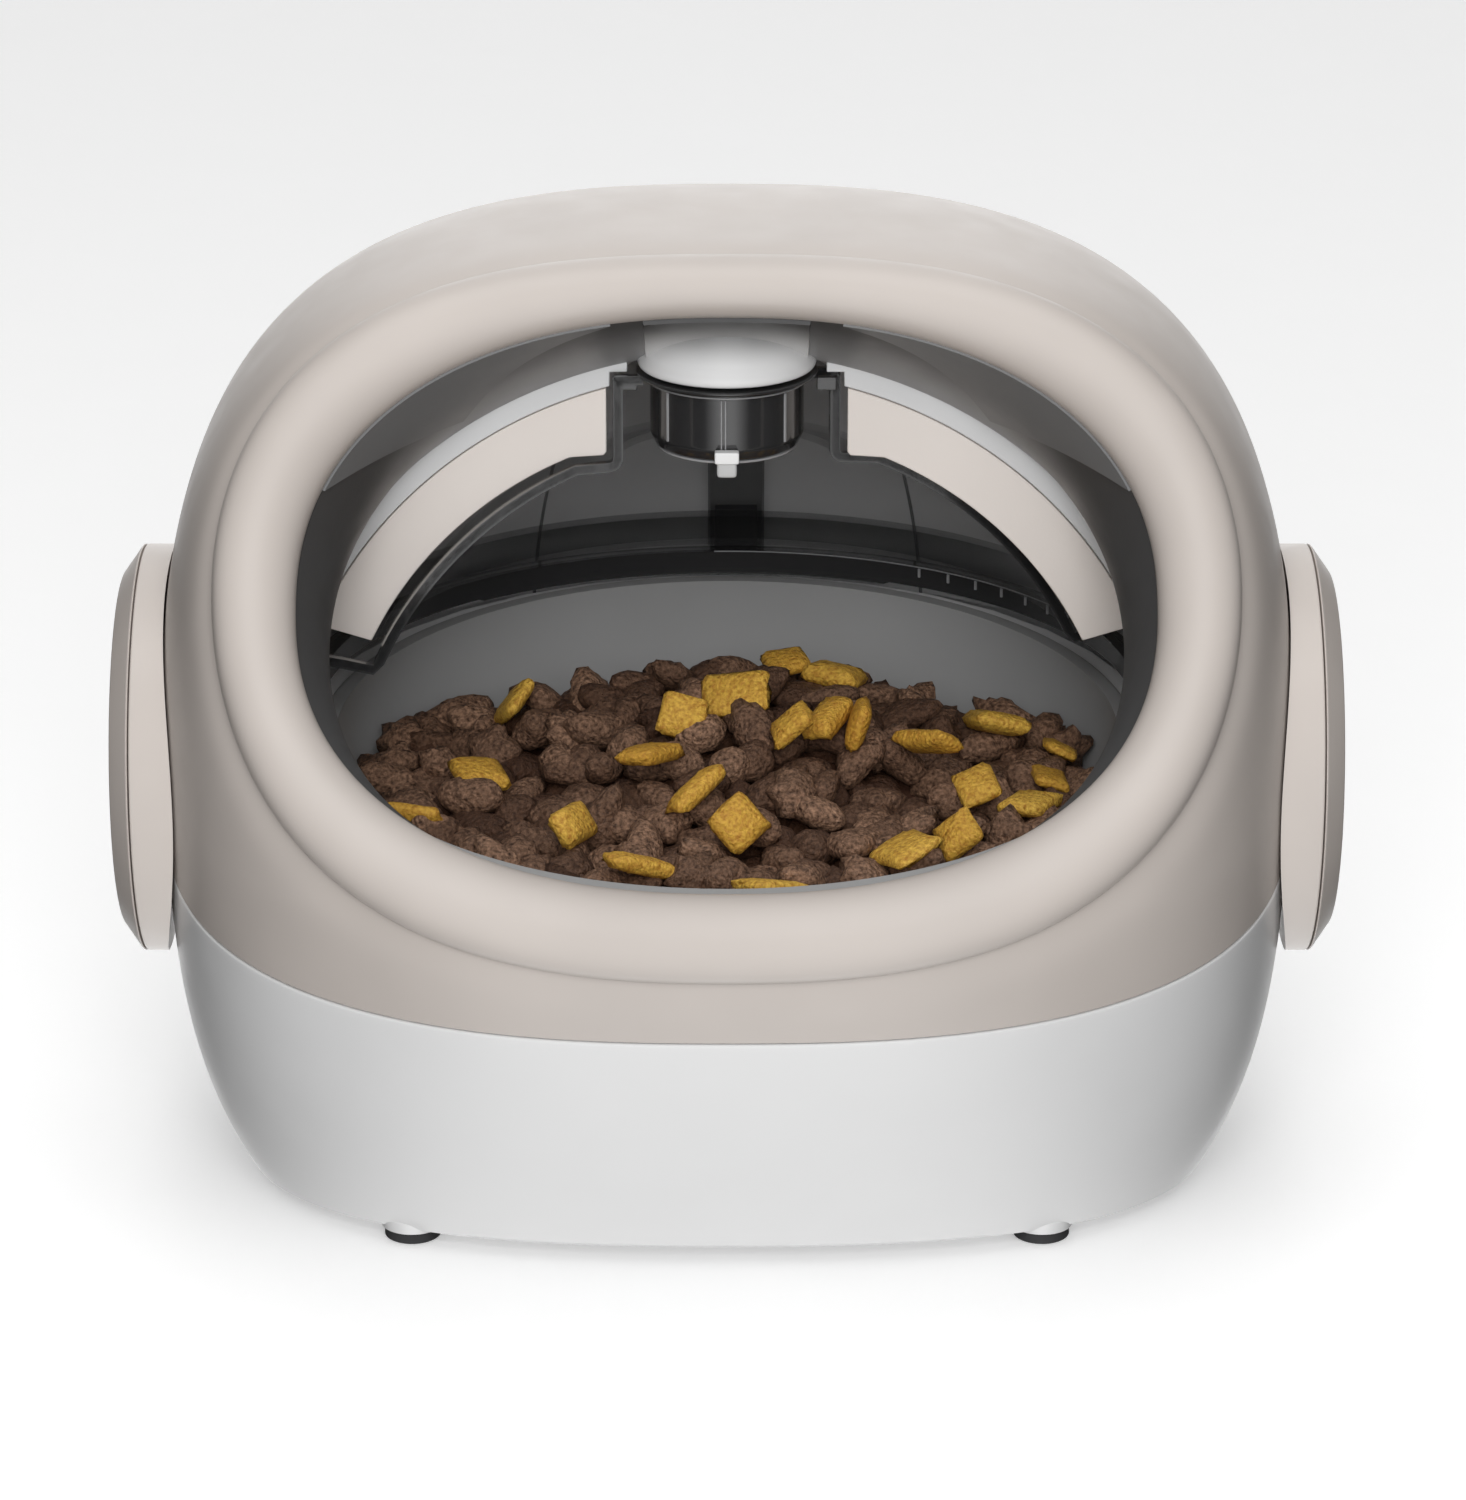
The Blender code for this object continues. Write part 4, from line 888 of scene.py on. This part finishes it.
skirt_z = np.linspace(0.1476, RING_TOP_Z + 0.0009, 8)
shutter_line = np.concatenate([
    softened([(0.0222, 0.2212), (0.0300, 0.2212), (0.0300, shoulder_z + 0.0016),
              (0.0306, shoulder_z + 0.0006), (SHOULDER_R, shoulder_z)], 0.0008),
    arc(SHUTTER_RADIUS, math.asin((shoulder_z - DOME_Z) / SHUTTER_RADIUS) - 0.01,
        math.asin((STEP_Z - DOME_Z) / SHUTTER_RADIUS), 50),
    [((step_r + 0.1085) / 2 + 0.0006, 0.1460)],
    np.stack([skirt(skirt_z), skirt_z], axis=-1),
])


def beside(line, distance):
    """The line moved to its left by a distance, square to its own run at each point."""
    run = unit(np.gradient(line, axis=0))
    return line + np.stack([run[:, 1], -run[:, 0]], axis=-1) * distance


shutter_angles = SHUTTER_START + np.linspace(0.0, SHUTTER_SWEEP, 181)
shutter_outside = turned_grid(shutter_line, shutter_angles)
shutter_inside = turned_grid(beside(shutter_line, SHUTTER_WALL), shutter_angles)
shutter = walled("shutter_dome", shutter_outside, shutter_inside, sharp=60)
seat(shutter, "shutter", "smoked_clear", smoke, "shutter")

# %% [markdown]
# A frame is a narrow strip of the same profile, a little thicker than the wall. Its width is the same all
# along, so the angle that it takes up grows towards the hub.

# %% Shutter frames
FRAME_WIDTH = 0.0022
frame_edges = (
    ("shutter_frame_left", SHUTTER_START + SHUTTER_SWEEP, -1),
    ("shutter_frame_right", SHUTTER_START, 1),
)
radii = np.maximum(shutter_line[:, :1], 0.02)
for name, edge_angle, turn_in in frame_edges:
    angles = edge_angle + turn_in * FRAME_WIDTH / radii * np.linspace(0.0, 1.0, 4)[None, :]
    grids = []
    for line in (beside(shutter_line, -0.0002), beside(shutter_line, SHUTTER_WALL + 0.0006)):
        height = np.broadcast_to(line[:, 1:], angles.shape)
        grids.append(np.stack([line[:, :1] * np.cos(angles), line[:, :1] * np.sin(angles), height], axis=-1))
    seat(walled(name, grids[0], grids[1]), "shutter", "smoked_clear", smoke_edge)

# %% [markdown]
# ## Shutter ring
# A thick smoked ring stiffens the skirt's foot. Over the middle of the back its section hangs a little
# lower. On the right half pale ticks stand on its inner face, one every five degrees, and a thin painted
# highlight runs along its top edge.

# %% Shutter ring
RING_INNER, RING_OUTER, TICK_HALF = 0.1090, 0.1142, 0.00035
drop = 0.0007 * ((shutter_angles > math.radians(65.0)) & (shutter_angles < math.radians(130.0)))
corner_r = np.array([RING_INNER, RING_OUTER, RING_OUTER, RING_INNER])
corner_z = np.array([RING_TOP_Z, RING_TOP_Z, RING_FOOT_Z, RING_FOOT_Z])
ring_z = corner_z[:, None] - drop * np.array([0, 0, 1, 1])[:, None]
ring_x, ring_y = corner_r[:, None] * np.cos(shutter_angles), corner_r[:, None] * np.sin(shutter_angles)
ring_grid = np.stack([ring_x, ring_y, ring_z], axis=-1)
ring = skin("ring_band", ring_grid, wrap_rows=True, wrap_columns=False, cap=True, sharp=30)
seat(ring, "shutter", "smoked_clear", smoke_edge, "shutter_ring")
# Painted highlight along the ring's top edge.
highlight_ring("ring_gleam", RING_INNER + 0.0001, RING_TOP_Z, 0.00018, np.radians(np.linspace(16.0, 92.0, 90)))
for number, degrees_at in enumerate(range(60, 20, -5), start=1):
    angle = math.radians(degrees_at)
    turn = angle + np.array([-1.0, 1.0, 1.0, -1.0]) * TICK_HALF / RING_INNER
    radius = RING_INNER + np.array([-0.0004, -0.0004, 0.0002, 0.0002])
    heights = np.linspace(RING_TOP_Z - 0.0028, RING_TOP_Z - 0.0003, 3)[:, None]
    tick = np.stack(np.broadcast_arrays(radius * np.cos(turn), radius * np.sin(turn), heights), axis=-1)
    seat(skin(f"ring_tick_{number}", tick, cap=True), "shutter", "smoked_clear", highlight_and_tick_clear)

# %% [markdown]
# ## Rear post and sensor
# A smoked post stands behind the shutter, bent to the dome, with a dark sensor box at its foot. Each is a
# strip between two arcs, carried a little way to each side. The post's two edges carry a paler line.

# %% Rear post and sensor
POST_MIDDLE_X, POST_HALF, SENSOR_HALF = 0.0025, 0.0080, 0.0060
post_low, post_top = math.asin((0.1312 - DOME_Z) / 0.1225), math.radians(56.0)


def bent_strip(name, inner, outer, low_x, high_x, first, last, slot_name, material, *stands_for):
    """A strip between two arcs round the dome's centre, low_x to high_x beside the post's middle."""
    section = np.concatenate([arc(inner, first, last, 30), arc(outer, last, first, 30)])
    x = POST_MIDDLE_X + np.array([[low_x], [high_x]])
    grid = np.stack(np.broadcast_arrays(x, section[:, 0], section[:, 1]), axis=-1)
    return seat(skin(name, grid, cap=True, sharp=30), "cover", slot_name, material, *stands_for)


post_smoke = plastic("post_smoke", (0.03, 0.03, 0.03), 0.12, depth=0.000004, coat=0.4, clear=0.30)
bent_strip("post_body", 0.1222, 0.1274, -POST_HALF, POST_HALF, post_low, post_top, "smoked_clear", post_smoke,
           "rear_post")
for name, x in (("post_edge_left", -POST_HALF), ("post_edge_right", POST_HALF - 0.0006)):
    bent_strip(name, 0.1219, 0.1223, x, x + 0.0006, post_low, post_top, "smoked_clear", panel_grey)
bent_strip("sensor_box", 0.1200, 0.1219, -SENSOR_HALF, SENSOR_HALF, post_low, math.radians(22.5),
           "black_plastic", black, "position_sensor")

# %% [markdown]
# ## Bowl
# The bowl is turned, then leans forward by a few degrees. Its inside eases from the wall to the floor along
# powers of a sine and a cosine, which gives a soft, dish-like hollow. The lip is rounded.

# %% Bowl
BOWL_RADIUS, BOWL_DEPTH, BOWL_WALL, BOWL_LIP_Z = 0.1100, 0.0500, 0.0024, 0.1225
BOWL_LEAN = math.radians(2.87)
LEAN_COS, LEAN_SIN = math.cos(BOWL_LEAN), math.sin(BOWL_LEAN)


def leaning(points):
    """Points turned about X by the bowl's lean and lifted to its lip's height."""
    x, y, z = points[..., 0], points[..., 1], points[..., 2]
    return np.stack([x, y * LEAN_COS - z * LEAN_SIN, y * LEAN_SIN + z * LEAN_COS + BOWL_LIP_Z], axis=-1)


bend = np.linspace(0.0, math.pi / 2, 40)
hollow_r = (BOWL_RADIUS - 0.0050) * (0.52 + 0.48 * np.clip(np.cos(bend), 0.0, 1.0) ** 0.8)
hollow = np.stack([hollow_r, -BOWL_DEPTH * np.sin(bend) ** 1.15], axis=-1)
under = hollow[3:] + np.array([BOWL_WALL * 0.8, -BOWL_WALL])
lip = softened([hollow[0], (BOWL_RADIUS - 0.0008, 0.0), (BOWL_RADIUS, -0.0008), (BOWL_RADIUS, -0.0024),
                (hollow[0, 0] + BOWL_WALL * 0.7, -0.0026), under[0]], 0.0007)
bowl_profile = np.concatenate([
    [(0.0, -BOWL_DEPTH)], hollow[::-1], lip[1:], under[1:], [(0.0, -BOWL_DEPTH - BOWL_WALL)]
])
bowl = skin("food_bowl", leaning(turned_grid(bowl_profile, full_turn(200))), sharp=50)
seat(bowl, "bowl", "bowl_grey", bowl_grey, "bowl")

# %% [markdown]
# ## Dry food
# The bowl is heaped with brown kibble and a few golden pieces. They are laid over a mound: its height is a
# broad bell across the bowl, gentle to the front and steep to the back. Each kind is one mesh, worked out
# for all its pieces at once: a lumpy ball or a puffed pillow of 144 faces, stretched, turned and put in
# its place. The rough crumb comes from the material. Each piece carries its own shade as a mesh
# attribute.

# %% Mound and places
MOUND_FOOT, MOUND_HEIGHT, CREST_Y = 0.1045, 0.0235, 0.0200
HEAP_SIDE, HEAP_FRONT, HEAP_BACK, HEAP_BEND = 0.066, 0.060, 0.026, 2.2
BOWL_CLEARANCE = 0.0004
random = np.random.default_rng(7)


def mound(x, y):
    """Height of the heap: a bell in x, and in y a wider bell before the crest than behind it."""
    reach = np.where(y < CREST_Y, HEAP_FRONT, HEAP_BACK)
    return MOUND_FOOT + MOUND_HEIGHT * np.exp(-((x / HEAP_SIDE) ** 2) - ((y - CREST_Y) / reach) ** 2)


def scattered(spacing, jitter):
    """Places on a six-sided grid inside the bowl, each moved a little."""
    rows, columns = np.mgrid[-16:17, -14:15]
    x = (columns + 0.5 * (rows % 2)) * spacing
    y = rows * spacing * 0.866
    x = x.ravel() + random.normal(0.0, jitter, x.size)
    y = y.ravel() + random.normal(0.0, jitter, y.size)
    rim_r = 0.1005 - 0.16 * np.clip(0.1160 - mound(x, y), 0.0, None)
    keep = (np.hypot(x, y) < rim_r) & (y < 0.050 - HEAP_BEND * x**2)
    return x[keep], y[keep]


def turns(count, tilt):
    """That many rotation matrices: any heading, and a tilt about two axes with that spread."""
    heading = random.uniform(0.0, 2 * math.pi, count)
    pitch, roll = random.normal(0.0, tilt, (2, count))
    one, none = np.ones(count), np.zeros(count)
    (c, s), (pc, ps), (rc, rs) = ((np.cos(angle), np.sin(angle)) for angle in (heading, pitch, roll))
    about_z = np.array([[c, -s, none], [s, c, none], [none, none, one]])
    about_x = np.array([[one, none, none], [none, pc, -ps], [none, ps, pc]])
    about_y = np.array([[rc, none, rs], [none, one, none], [-rs, none, rc]])
    return np.einsum("abn,bcn,cdn->nad", about_z, about_x, about_y)


def kept_in_bowl(points):
    """Moves each piece towards the bowl's middle by as much as its furthest point is outside the hollow."""
    along, up = points[..., 1], points[..., 2] - BOWL_LIP_Z
    level, height = along * LEAN_COS + up * LEAN_SIN, up * LEAN_COS - along * LEAN_SIN
    room = np.interp(height, hollow[::-1, 1], hollow[::-1, 0]) - BOWL_CLEARANCE
    beyond = np.clip((np.hypot(points[..., 0], level) - room).max(axis=(1, 2)), 0.0, None)
    centre = points.mean(axis=(1, 2)) * np.array([1.0, 1.0, 0.0])
    return points - (unit(centre) * beyond[:, None])[:, None, None]


def pieces(name, shapes, matrices, places, shades):
    """One mesh of many closed pieces, each a turned and placed grid, with its own shade on its points."""
    count, rows, columns = shapes.shape[:3]
    points = kept_in_bowl(np.einsum("nab,nrcb->nrca", matrices, shapes) + places[:, None, None])
    number = np.arange(rows * columns).reshape(rows, columns)
    number = np.concatenate([number, number[:, :1]], axis=1)
    first_numbers = np.arange(count)[:, None, None] * rows * columns
    mesh = bpy.data.meshes.new(name)
    mesh.from_pydata(points.reshape(-1, 3), [], (patch(number) + first_numbers).reshape(-1, 4).tolist())
    tint = mesh.attributes.new("shade", "FLOAT", "POINT")
    tint.data.foreach_set("value", np.repeat(shades, rows * columns).astype(np.float32))
    open_edges = mended(mesh)
    print(f"{name}: {count} pieces, {len(mesh.polygons)} faces, {open_edges} open edges")
    return placed(name, mesh)


# %% [markdown]
# The food's finishes are both a baked crumb: a deep, many-layered noise in the bump and specks of a burnt
# tone in the colour. The golden pieces are smoother and have paler specks. A shade kept on each piece picks
# its own tone.

# %% Food materials
def crumb(name, dark, light, burnt, depth, roughness):
    """Baked food: each piece's own shade picks its colour, noises add specks and the crumb."""
    material, tree, shader, place = node_tools(name)
    shade = tree.nodes.new("ShaderNodeAttribute")
    shade.attribute_name = "shade"
    tint = tinted(tree, shade.outputs["Fac"], dark, light)
    specks = tree.nodes.new("ShaderNodeMix")
    specks.data_type = "RGBA"
    specks.inputs["B"].default_value = (*burnt, 1.0)
    tree.links.new(spread(tree, noise(tree, place, 900.0, 5.0), 0.95, -0.10), specks.inputs["Factor"])
    tree.links.new(tint, specks.inputs["A"])
    tree.links.new(specks.outputs["Result"], shader.inputs["Base Color"])
    rough = spread(tree, noise(tree, place, 300.0, 3.0), roughness * 0.85, min(roughness * 1.15, 1.0))
    tree.links.new(rough, shader.inputs["Roughness"])
    bumped(tree, shader, noise(tree, place, 850.0, 6.0), depth, 1.0)
    return material


brown_crumb = crumb("kibble_crumb", (0.085, 0.040, 0.022), (0.42, 0.245, 0.155), (0.040, 0.018, 0.010),
                    0.0016, 0.62)
gold_crumb = crumb("golden_crumb", (0.66, 0.36, 0.045), (0.86, 0.56, 0.095), (0.42, 0.180, 0.022),
                   0.0010, 0.55)
print("food finishes:", brown_crumb.name, gold_crumb.name)

# %% [markdown]
# Brown kibble comes out of the press as small, lobed lumps. A ball with a swelling radius gives these. A
# second, lower layer fills the gaps between the top ones, at the darkest tone: painted shade. The top pieces
# are darker the lower they sit, a painted shade for the heap's hollows, on top of a random tone for each.

# %% Brown kibble
LATITUDES, LONGITUDES = 9, 18
rise = np.linspace(-math.pi / 2, math.pi / 2, LATITUDES)[:, None]
turn = full_turn(LONGITUDES)[None, :]
flat = np.cos(rise)
ball = np.stack(np.broadcast_arrays(flat * np.cos(turn), flat * np.sin(turn), np.sin(rise)), axis=-1)


def kibble_shapes(count):
    """Stretched balls with scalloped sides: the radius swells with the cosine of 3 to 6 times the heading."""
    sizes = random.uniform(0.0052, 0.0086, (count, 1, 1, 3)) * np.array([1.15, 0.90, 0.66])
    lobes = random.integers(3, 7, count)[:, None, None]
    depth = random.uniform(0.08, 0.26, count)[:, None, None]
    phase = random.uniform(0.0, 2 * math.pi, count)[:, None, None]
    swell = 1 + depth * np.cos(lobes * turn + phase) * np.cos(rise) ** 2
    lumps = 1 + random.normal(0.0, 0.05, (count, LATITUDES, LONGITUDES)) * np.cos(rise) ** 0.5
    return ball * (swell * lumps)[..., None] * sizes


x, y = scattered(0.0108, 0.0022)
lift = random.uniform(-0.0055, 0.0030, len(x))
under_x, under_y = scattered(0.0125, 0.0020)
top_places = np.stack([x, y, mound(x, y) + lift], axis=-1)
under_places = np.stack([under_x, under_y, mound(under_x, under_y) - 0.0090], axis=-1)
places = np.concatenate([top_places, under_places])
count = len(places)
# Painted shade: lower pieces darker, plus a random tone per piece; the under layer gets the darkest tone.
top_tones_and_shade = 0.42 + 60.0 * (lift + 0.0015) + random.normal(0.0, 0.22, len(lift))
shades = np.clip(np.concatenate([top_tones_and_shade, np.zeros(len(under_x))]), 0.0, 1.0)
kibble = pieces("kibble_brown", kibble_shapes(count), turns(count, 0.5), places, shades)
seat(kibble, "bowl", "bowl_grey", brown_crumb)

# %% [markdown]
# The golden pieces are cut from a puffed sheet, so they are flat, squarish pillows: a superellipsoid again.
# Their places are listed, because a few of them are what the eye finds first.

# %% Golden pieces
PILLOW_POWER = 0.28
gold_places = np.array([
    (-0.058, 0.018, 0.1225), (0.016, 0.030, 0.1300), (0.029, 0.026, 0.1275), (0.090, 0.004, 0.1140),
    (-0.040, -0.056, 0.1155), (0.003, -0.060, 0.1175), (-0.012, -0.012, 0.1295), (0.002, 0.000, 0.1315),
    (0.017, -0.020, 0.1300), (0.027, -0.012, 0.1290), (0.035, -0.014, 0.1280), (0.053, -0.022, 0.1260),
    (-0.020, -0.030, 0.1255), (-0.082, -0.040, 0.1110), (0.066, -0.030, 0.1165), (0.080, -0.034, 0.1130),
    (0.046, -0.066, 0.1125), (0.060, -0.058, 0.1135), (0.073, 0.010, 0.1195), (0.012, -0.090, 0.1115),
    (-0.066, -0.020, 0.1160), (-0.008, -0.046, 0.1215), (0.086, -0.016, 0.1135), (-0.022, -0.078, 0.1130),
])
count = len(gold_places)
pillow = np.stack(np.broadcast_arrays(
    signed_power(flat, 0.7) * signed_power(np.cos(turn), PILLOW_POWER),
    signed_power(flat, 0.7) * signed_power(np.sin(turn), PILLOW_POWER),
    signed_power(np.sin(rise), 0.9),
), axis=-1)
gold_sizes = random.uniform(0.70, 1.30, (count, 1, 1, 3)) * np.array([0.0080, 0.0060, 0.0026])
gold_lumps = 1 + random.normal(0.0, 0.05, (count, LATITUDES, LONGITUDES)) * np.cos(rise) ** 0.5
gold = pieces("kibble_gold", pillow * gold_lumps[..., None] * gold_sizes, turns(count, 0.45), gold_places,
              np.clip(random.normal(0.5, 0.3, count), 0.0, 1.0))
seat(gold, "bowl", "bowl_grey", gold_crumb)

# %% [markdown]
# Between the top pieces the eye must not see through to the bowl, so a dark, lumpy filling follows the
# mound just below them, down to the bowl's hollow: a sheet of painted shade for the deep gaps.

# %% Filling under the heap
FILL_RADIUS, FILL_FOOT_Z = 0.0965, 0.0800
fill_turn = full_turn(96)
fill_r = np.linspace(0.0, FILL_RADIUS, 30)[:, None]
fill_x = fill_r * np.cos(fill_turn)
fill_y = np.minimum(fill_r * np.sin(fill_turn), 0.052 - HEAP_BEND * fill_x**2)
ripple = 0.0012 * np.sin(fill_x * 900.0) * np.cos(fill_y * 820.0)
fill_top = np.stack([fill_x, fill_y, mound(fill_x, fill_y) - 0.0075 + ripple], axis=-1)
fill_low = fill_top * np.array([0.80, 0.80, 0.0]) + np.array([0.0, 0.0, FILL_FOOT_Z])
filling = skin("kibble_filling", np.concatenate([fill_top, fill_low[::-1]]), sharp=80)
# Painted shade: a near-black brown for the deep gaps in the heap.
food_shadow = plastic("food_shadow", (0.055, 0.024, 0.014), 0.9, drift=0.4, grain=500.0, depth=0.0010)
seat(filling, "bowl", "bowl_grey", food_shadow)

# %% [markdown]
# ## Controls at the back
# Two push buttons with dished faces, a status light and a round power inlet sit in the base's back wall.
# All are turned about a line along Y, so one helper takes a profile of (radius, y) and a middle.

# %% Controls
KEY_BACK_Y, KEY_FACE_Y = 0.1300, 0.1356


def turned_along_y(name, profile, x, z, body, slot_name, material, *stands_for, wrap=False):
    """A profile of (radius, y) turned about the line along Y through (x, z)."""
    around = full_turn(64)
    radius = profile[:, :1]
    y_rows = np.broadcast_to(profile[:, 1:], (len(profile), len(around)))
    grid = np.stack([x + radius * np.cos(around), y_rows, z + radius * np.sin(around)], axis=-1)
    return seat(skin(name, grid, wrap_rows=wrap, sharp=50), body, slot_name, material, *stands_for)


button_profile = softened(
    [(0.0, KEY_BACK_Y), (BUTTON_RADIUS, KEY_BACK_Y), (BUTTON_RADIUS, KEY_FACE_Y), (0.0036, KEY_FACE_Y),
     (0.0, KEY_FACE_Y - 0.0006)],
    0.0006,
)
for name, node, x in (("power_key", "power_button", -BUTTON_X), ("pairing_key", "pairing_button", BUTTON_X)):
    turned_along_y(name, button_profile, x, BUTTON_Z, node, "black_plastic", black, node)
light_profile = softened([(0.0, KEY_BACK_Y), (0.0018, KEY_BACK_Y), (0.0018, 0.1350), (0.0, 0.1354)], 0.0004)
turned_along_y("status_lens", light_profile, 0.0, BUTTON_Z, "base", "status_lens", lens, "status_light")
inlet_low, inlet_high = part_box("power_inlet")
inlet_profile = softened([(0.0030, inlet_low.y), (0.0056, inlet_low.y), (0.0056, inlet_high.y),
                          (0.0030, inlet_high.y), (0.0030, inlet_low.y + 0.002)], 0.0005)
turned_along_y("inlet_barrel", inlet_profile, INLET_X, INLET_Z, "base", "black_plastic", black, "power_inlet",
               wrap=True)
pin_profile = softened([(0.0, inlet_low.y), (0.0009, inlet_low.y), (0.0009, inlet_high.y - 0.0015),
                        (0.0, inlet_high.y - 0.0010)], 0.0003)
turned_along_y("inlet_pin", pin_profile, INLET_X, INLET_Z, "base", "steel", steel)

# %% [markdown]
# ## Parts that keep their CAD shape
# Screws, cells, boards, gears, the motor and the other inner parts already have the right shape, and most
# are never seen. Each still gets a real finish: green solder mask, cell sleeves in two blues, acetal for
# gears, drawn steel for the axle. A finish with soft bands across one axis serves for the boards and the
# sleeves.

# %% Finishes for CAD nodes
def banded(name, first, second, axis, scale, roughness):
    """Plastic or foil in two tones, in soft bands across one axis, with a fine grain."""
    material, tree, shader, place = node_tools(name)
    wave = tree.nodes.new("ShaderNodeTexWave")
    wave.bands_direction = axis
    wave.inputs["Scale"].default_value = scale
    wave.inputs["Distortion"].default_value = 0.4
    tree.links.new(place, wave.inputs["Vector"])
    tree.links.new(tinted(tree, wave.outputs["Fac"], first, second), shader.inputs["Base Color"])
    patchy = spread(tree, noise(tree, place, 120.0, 3.0), roughness * 0.85, roughness * 1.15)
    tree.links.new(patchy, shader.inputs["Roughness"])
    bumped(tree, shader, noise(tree, place, 1500.0), 0.00003)
    return material


board = banded("solder_mask", (0.015, 0.150, 0.065), (0.020, 0.190, 0.085), "X", 120.0, 0.4)
sleeve = banded("cell_sleeve", (0.060, 0.120, 0.270), (0.080, 0.150, 0.320), "Y", 8.0, 0.3)
kept_nodes = (
    (white, ["base_plate", "battery_door", "bowl_well", "well_post_1", "well_post_2", "well_post_3"]),
    (black, ["battery_box", "motor_cradle", "reader_module", "base_contact", "cover_contact"]),
    (steel, ["drive_motor", "shutter_axle"] + [f"plate_screw_{number}" for number in range(1, 5)]),
    (acetal, ["hub_gear", "drive_pinion"]),
    (board, ["circuit_board", "button_board"]),
    (copper, ["antenna_coil"]),
    (sleeve, [f"battery_{number}" for number in range(1, 5)]),
)
finished = set()
for material, nodes in kept_nodes:
    for node in nodes:
        for material_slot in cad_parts[node].material_slots:
            material_slot.material = material
    finished.update(nodes)
shown = {name for name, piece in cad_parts.items() if not piece.hide_render}
print("CAD nodes with a plain finish:", sorted(shown - finished))

# %% [markdown]
# ## Floor and light
# A wide pale floor fades to white. Light comes from a big soft panel above and from a sky that is bright
# above and in front and dark to the sides, which models the round body as a studio with black flags would.
# The floor's own bounce would undo that, so the floor is left out of diffuse light and of reflections, and
# the sky below the horizon stands in for it.

# %% Floor and light
FLOOR_HALF, FLOOR_THICKNESS = 15.0, 0.01
corners = np.array([(-1.0, -1.0), (1.0, -1.0), (1.0, 1.0), (-1.0, 1.0)]) * FLOOR_HALF
floor_grid = np.array([np.column_stack([corners, np.full(4, z)]) for z in (0.0, -FLOOR_THICKNESS)])
floor = skin("floor", floor_grid, cap=True)
paper = plastic("floor_paper", (0.95, 0.95, 0.95), 0.95, drift=0.004, grain=400.0)
paper_shader = paper.node_tree.nodes["Principled BSDF"]
paper_shader.inputs["Emission Color"].default_value = (1.0, 1.0, 1.0, 1.0)
paper_shader.inputs["Emission Strength"].default_value = 0.25
floor.data.materials.append(paper)
floor.visible_diffuse = False
floor.visible_glossy = False

# %% [markdown]
# The sky's strength is a product of two ranges of the ray's direction: one by how far it points sideways,
# one by its height.

# %% Studio sky
SKY_TOP, SKY_FRONT, SKY_SIDE = 1.15, 1.75, 0.0
SIDE_FROM, SIDE_TO, HEIGHT_FROM, HEIGHT_TO = 0.17, 0.52, -0.3, 0.8
world = bpy.data.worlds.new("studio")
bpy.context.scene.world = world
world.use_nodes = True
sky = world.node_tree
direction = sky.nodes.new("ShaderNodeTexCoord")
axes = sky.nodes.new("ShaderNodeSeparateXYZ")
sky.links.new(direction.outputs["Generated"], axes.inputs["Vector"])


def sky_math(operation, first, second=None):
    """One Math node on one or two sockets."""
    node = sky.nodes.new("ShaderNodeMath")
    node.operation = operation
    for socket, value in zip(node.inputs, (first, second)):
        if value is not None:
            sky.links.new(value, socket)
    return node.outputs[0]


def sky_range(value, from_low, from_high, low, high):
    """A Map Range node: a value's stretch turned into another, held at its ends."""
    node = sky.nodes.new("ShaderNodeMapRange")
    for name, number in zip(("From Min", "From Max", "To Min", "To Max"), (from_low, from_high, low, high)):
        node.inputs[name].default_value = number
    sky.links.new(value, node.inputs["Value"])
    return node.outputs["Result"]


sideways = sky_range(sky_math("ABSOLUTE", axes.outputs["X"]), SIDE_FROM, SIDE_TO, 1.0, SKY_SIDE)
height = sky_range(axes.outputs["Z"], HEIGHT_FROM, HEIGHT_TO, SKY_FRONT, SKY_TOP)
sky.links.new(sky_math("MULTIPLY", sideways, height), sky.nodes["Background"].inputs["Strength"])
sky.nodes["Background"].inputs["Color"].default_value = (1.0, 1.0, 1.0, 1.0)
print("sky nodes:", len(sky.nodes))

# %% [markdown]
# A wide panel above gives the soft shadow. A smaller one in front lifts the front faces, and stays out of
# reflections, so the glossy base shows no square glare.

# %% Panel lights
def panel_light(name, place, aim, width, height, power):
    """A soft rectangular light at a place, turned to face the aim."""
    data = bpy.data.lights.new(name, "AREA")
    data.shape = "RECTANGLE"
    data.size = width
    data.size_y = height
    data.energy = power
    lamp = bpy.data.objects.new(name, data)
    lamp.location = place
    way = np.array(aim) - np.array(place)
    flat = math.hypot(way[0], way[1])
    lamp.rotation_euler = (math.atan2(flat, -way[2]), 0.0, math.atan2(-way[0], way[1]))
    bpy.context.scene.collection.objects.link(lamp)
    return lamp


panel_light("top_panel", (0.0, -0.35, 1.70), (0.0, 0.0, 0.1), 1.6, 1.2, 6.0)
front_panel = panel_light("front_panel", (0.0, -1.40, 0.90), (0.0, 0.0, 0.12), 0.7, 0.7, 9.5)
front_panel.visible_glossy = False
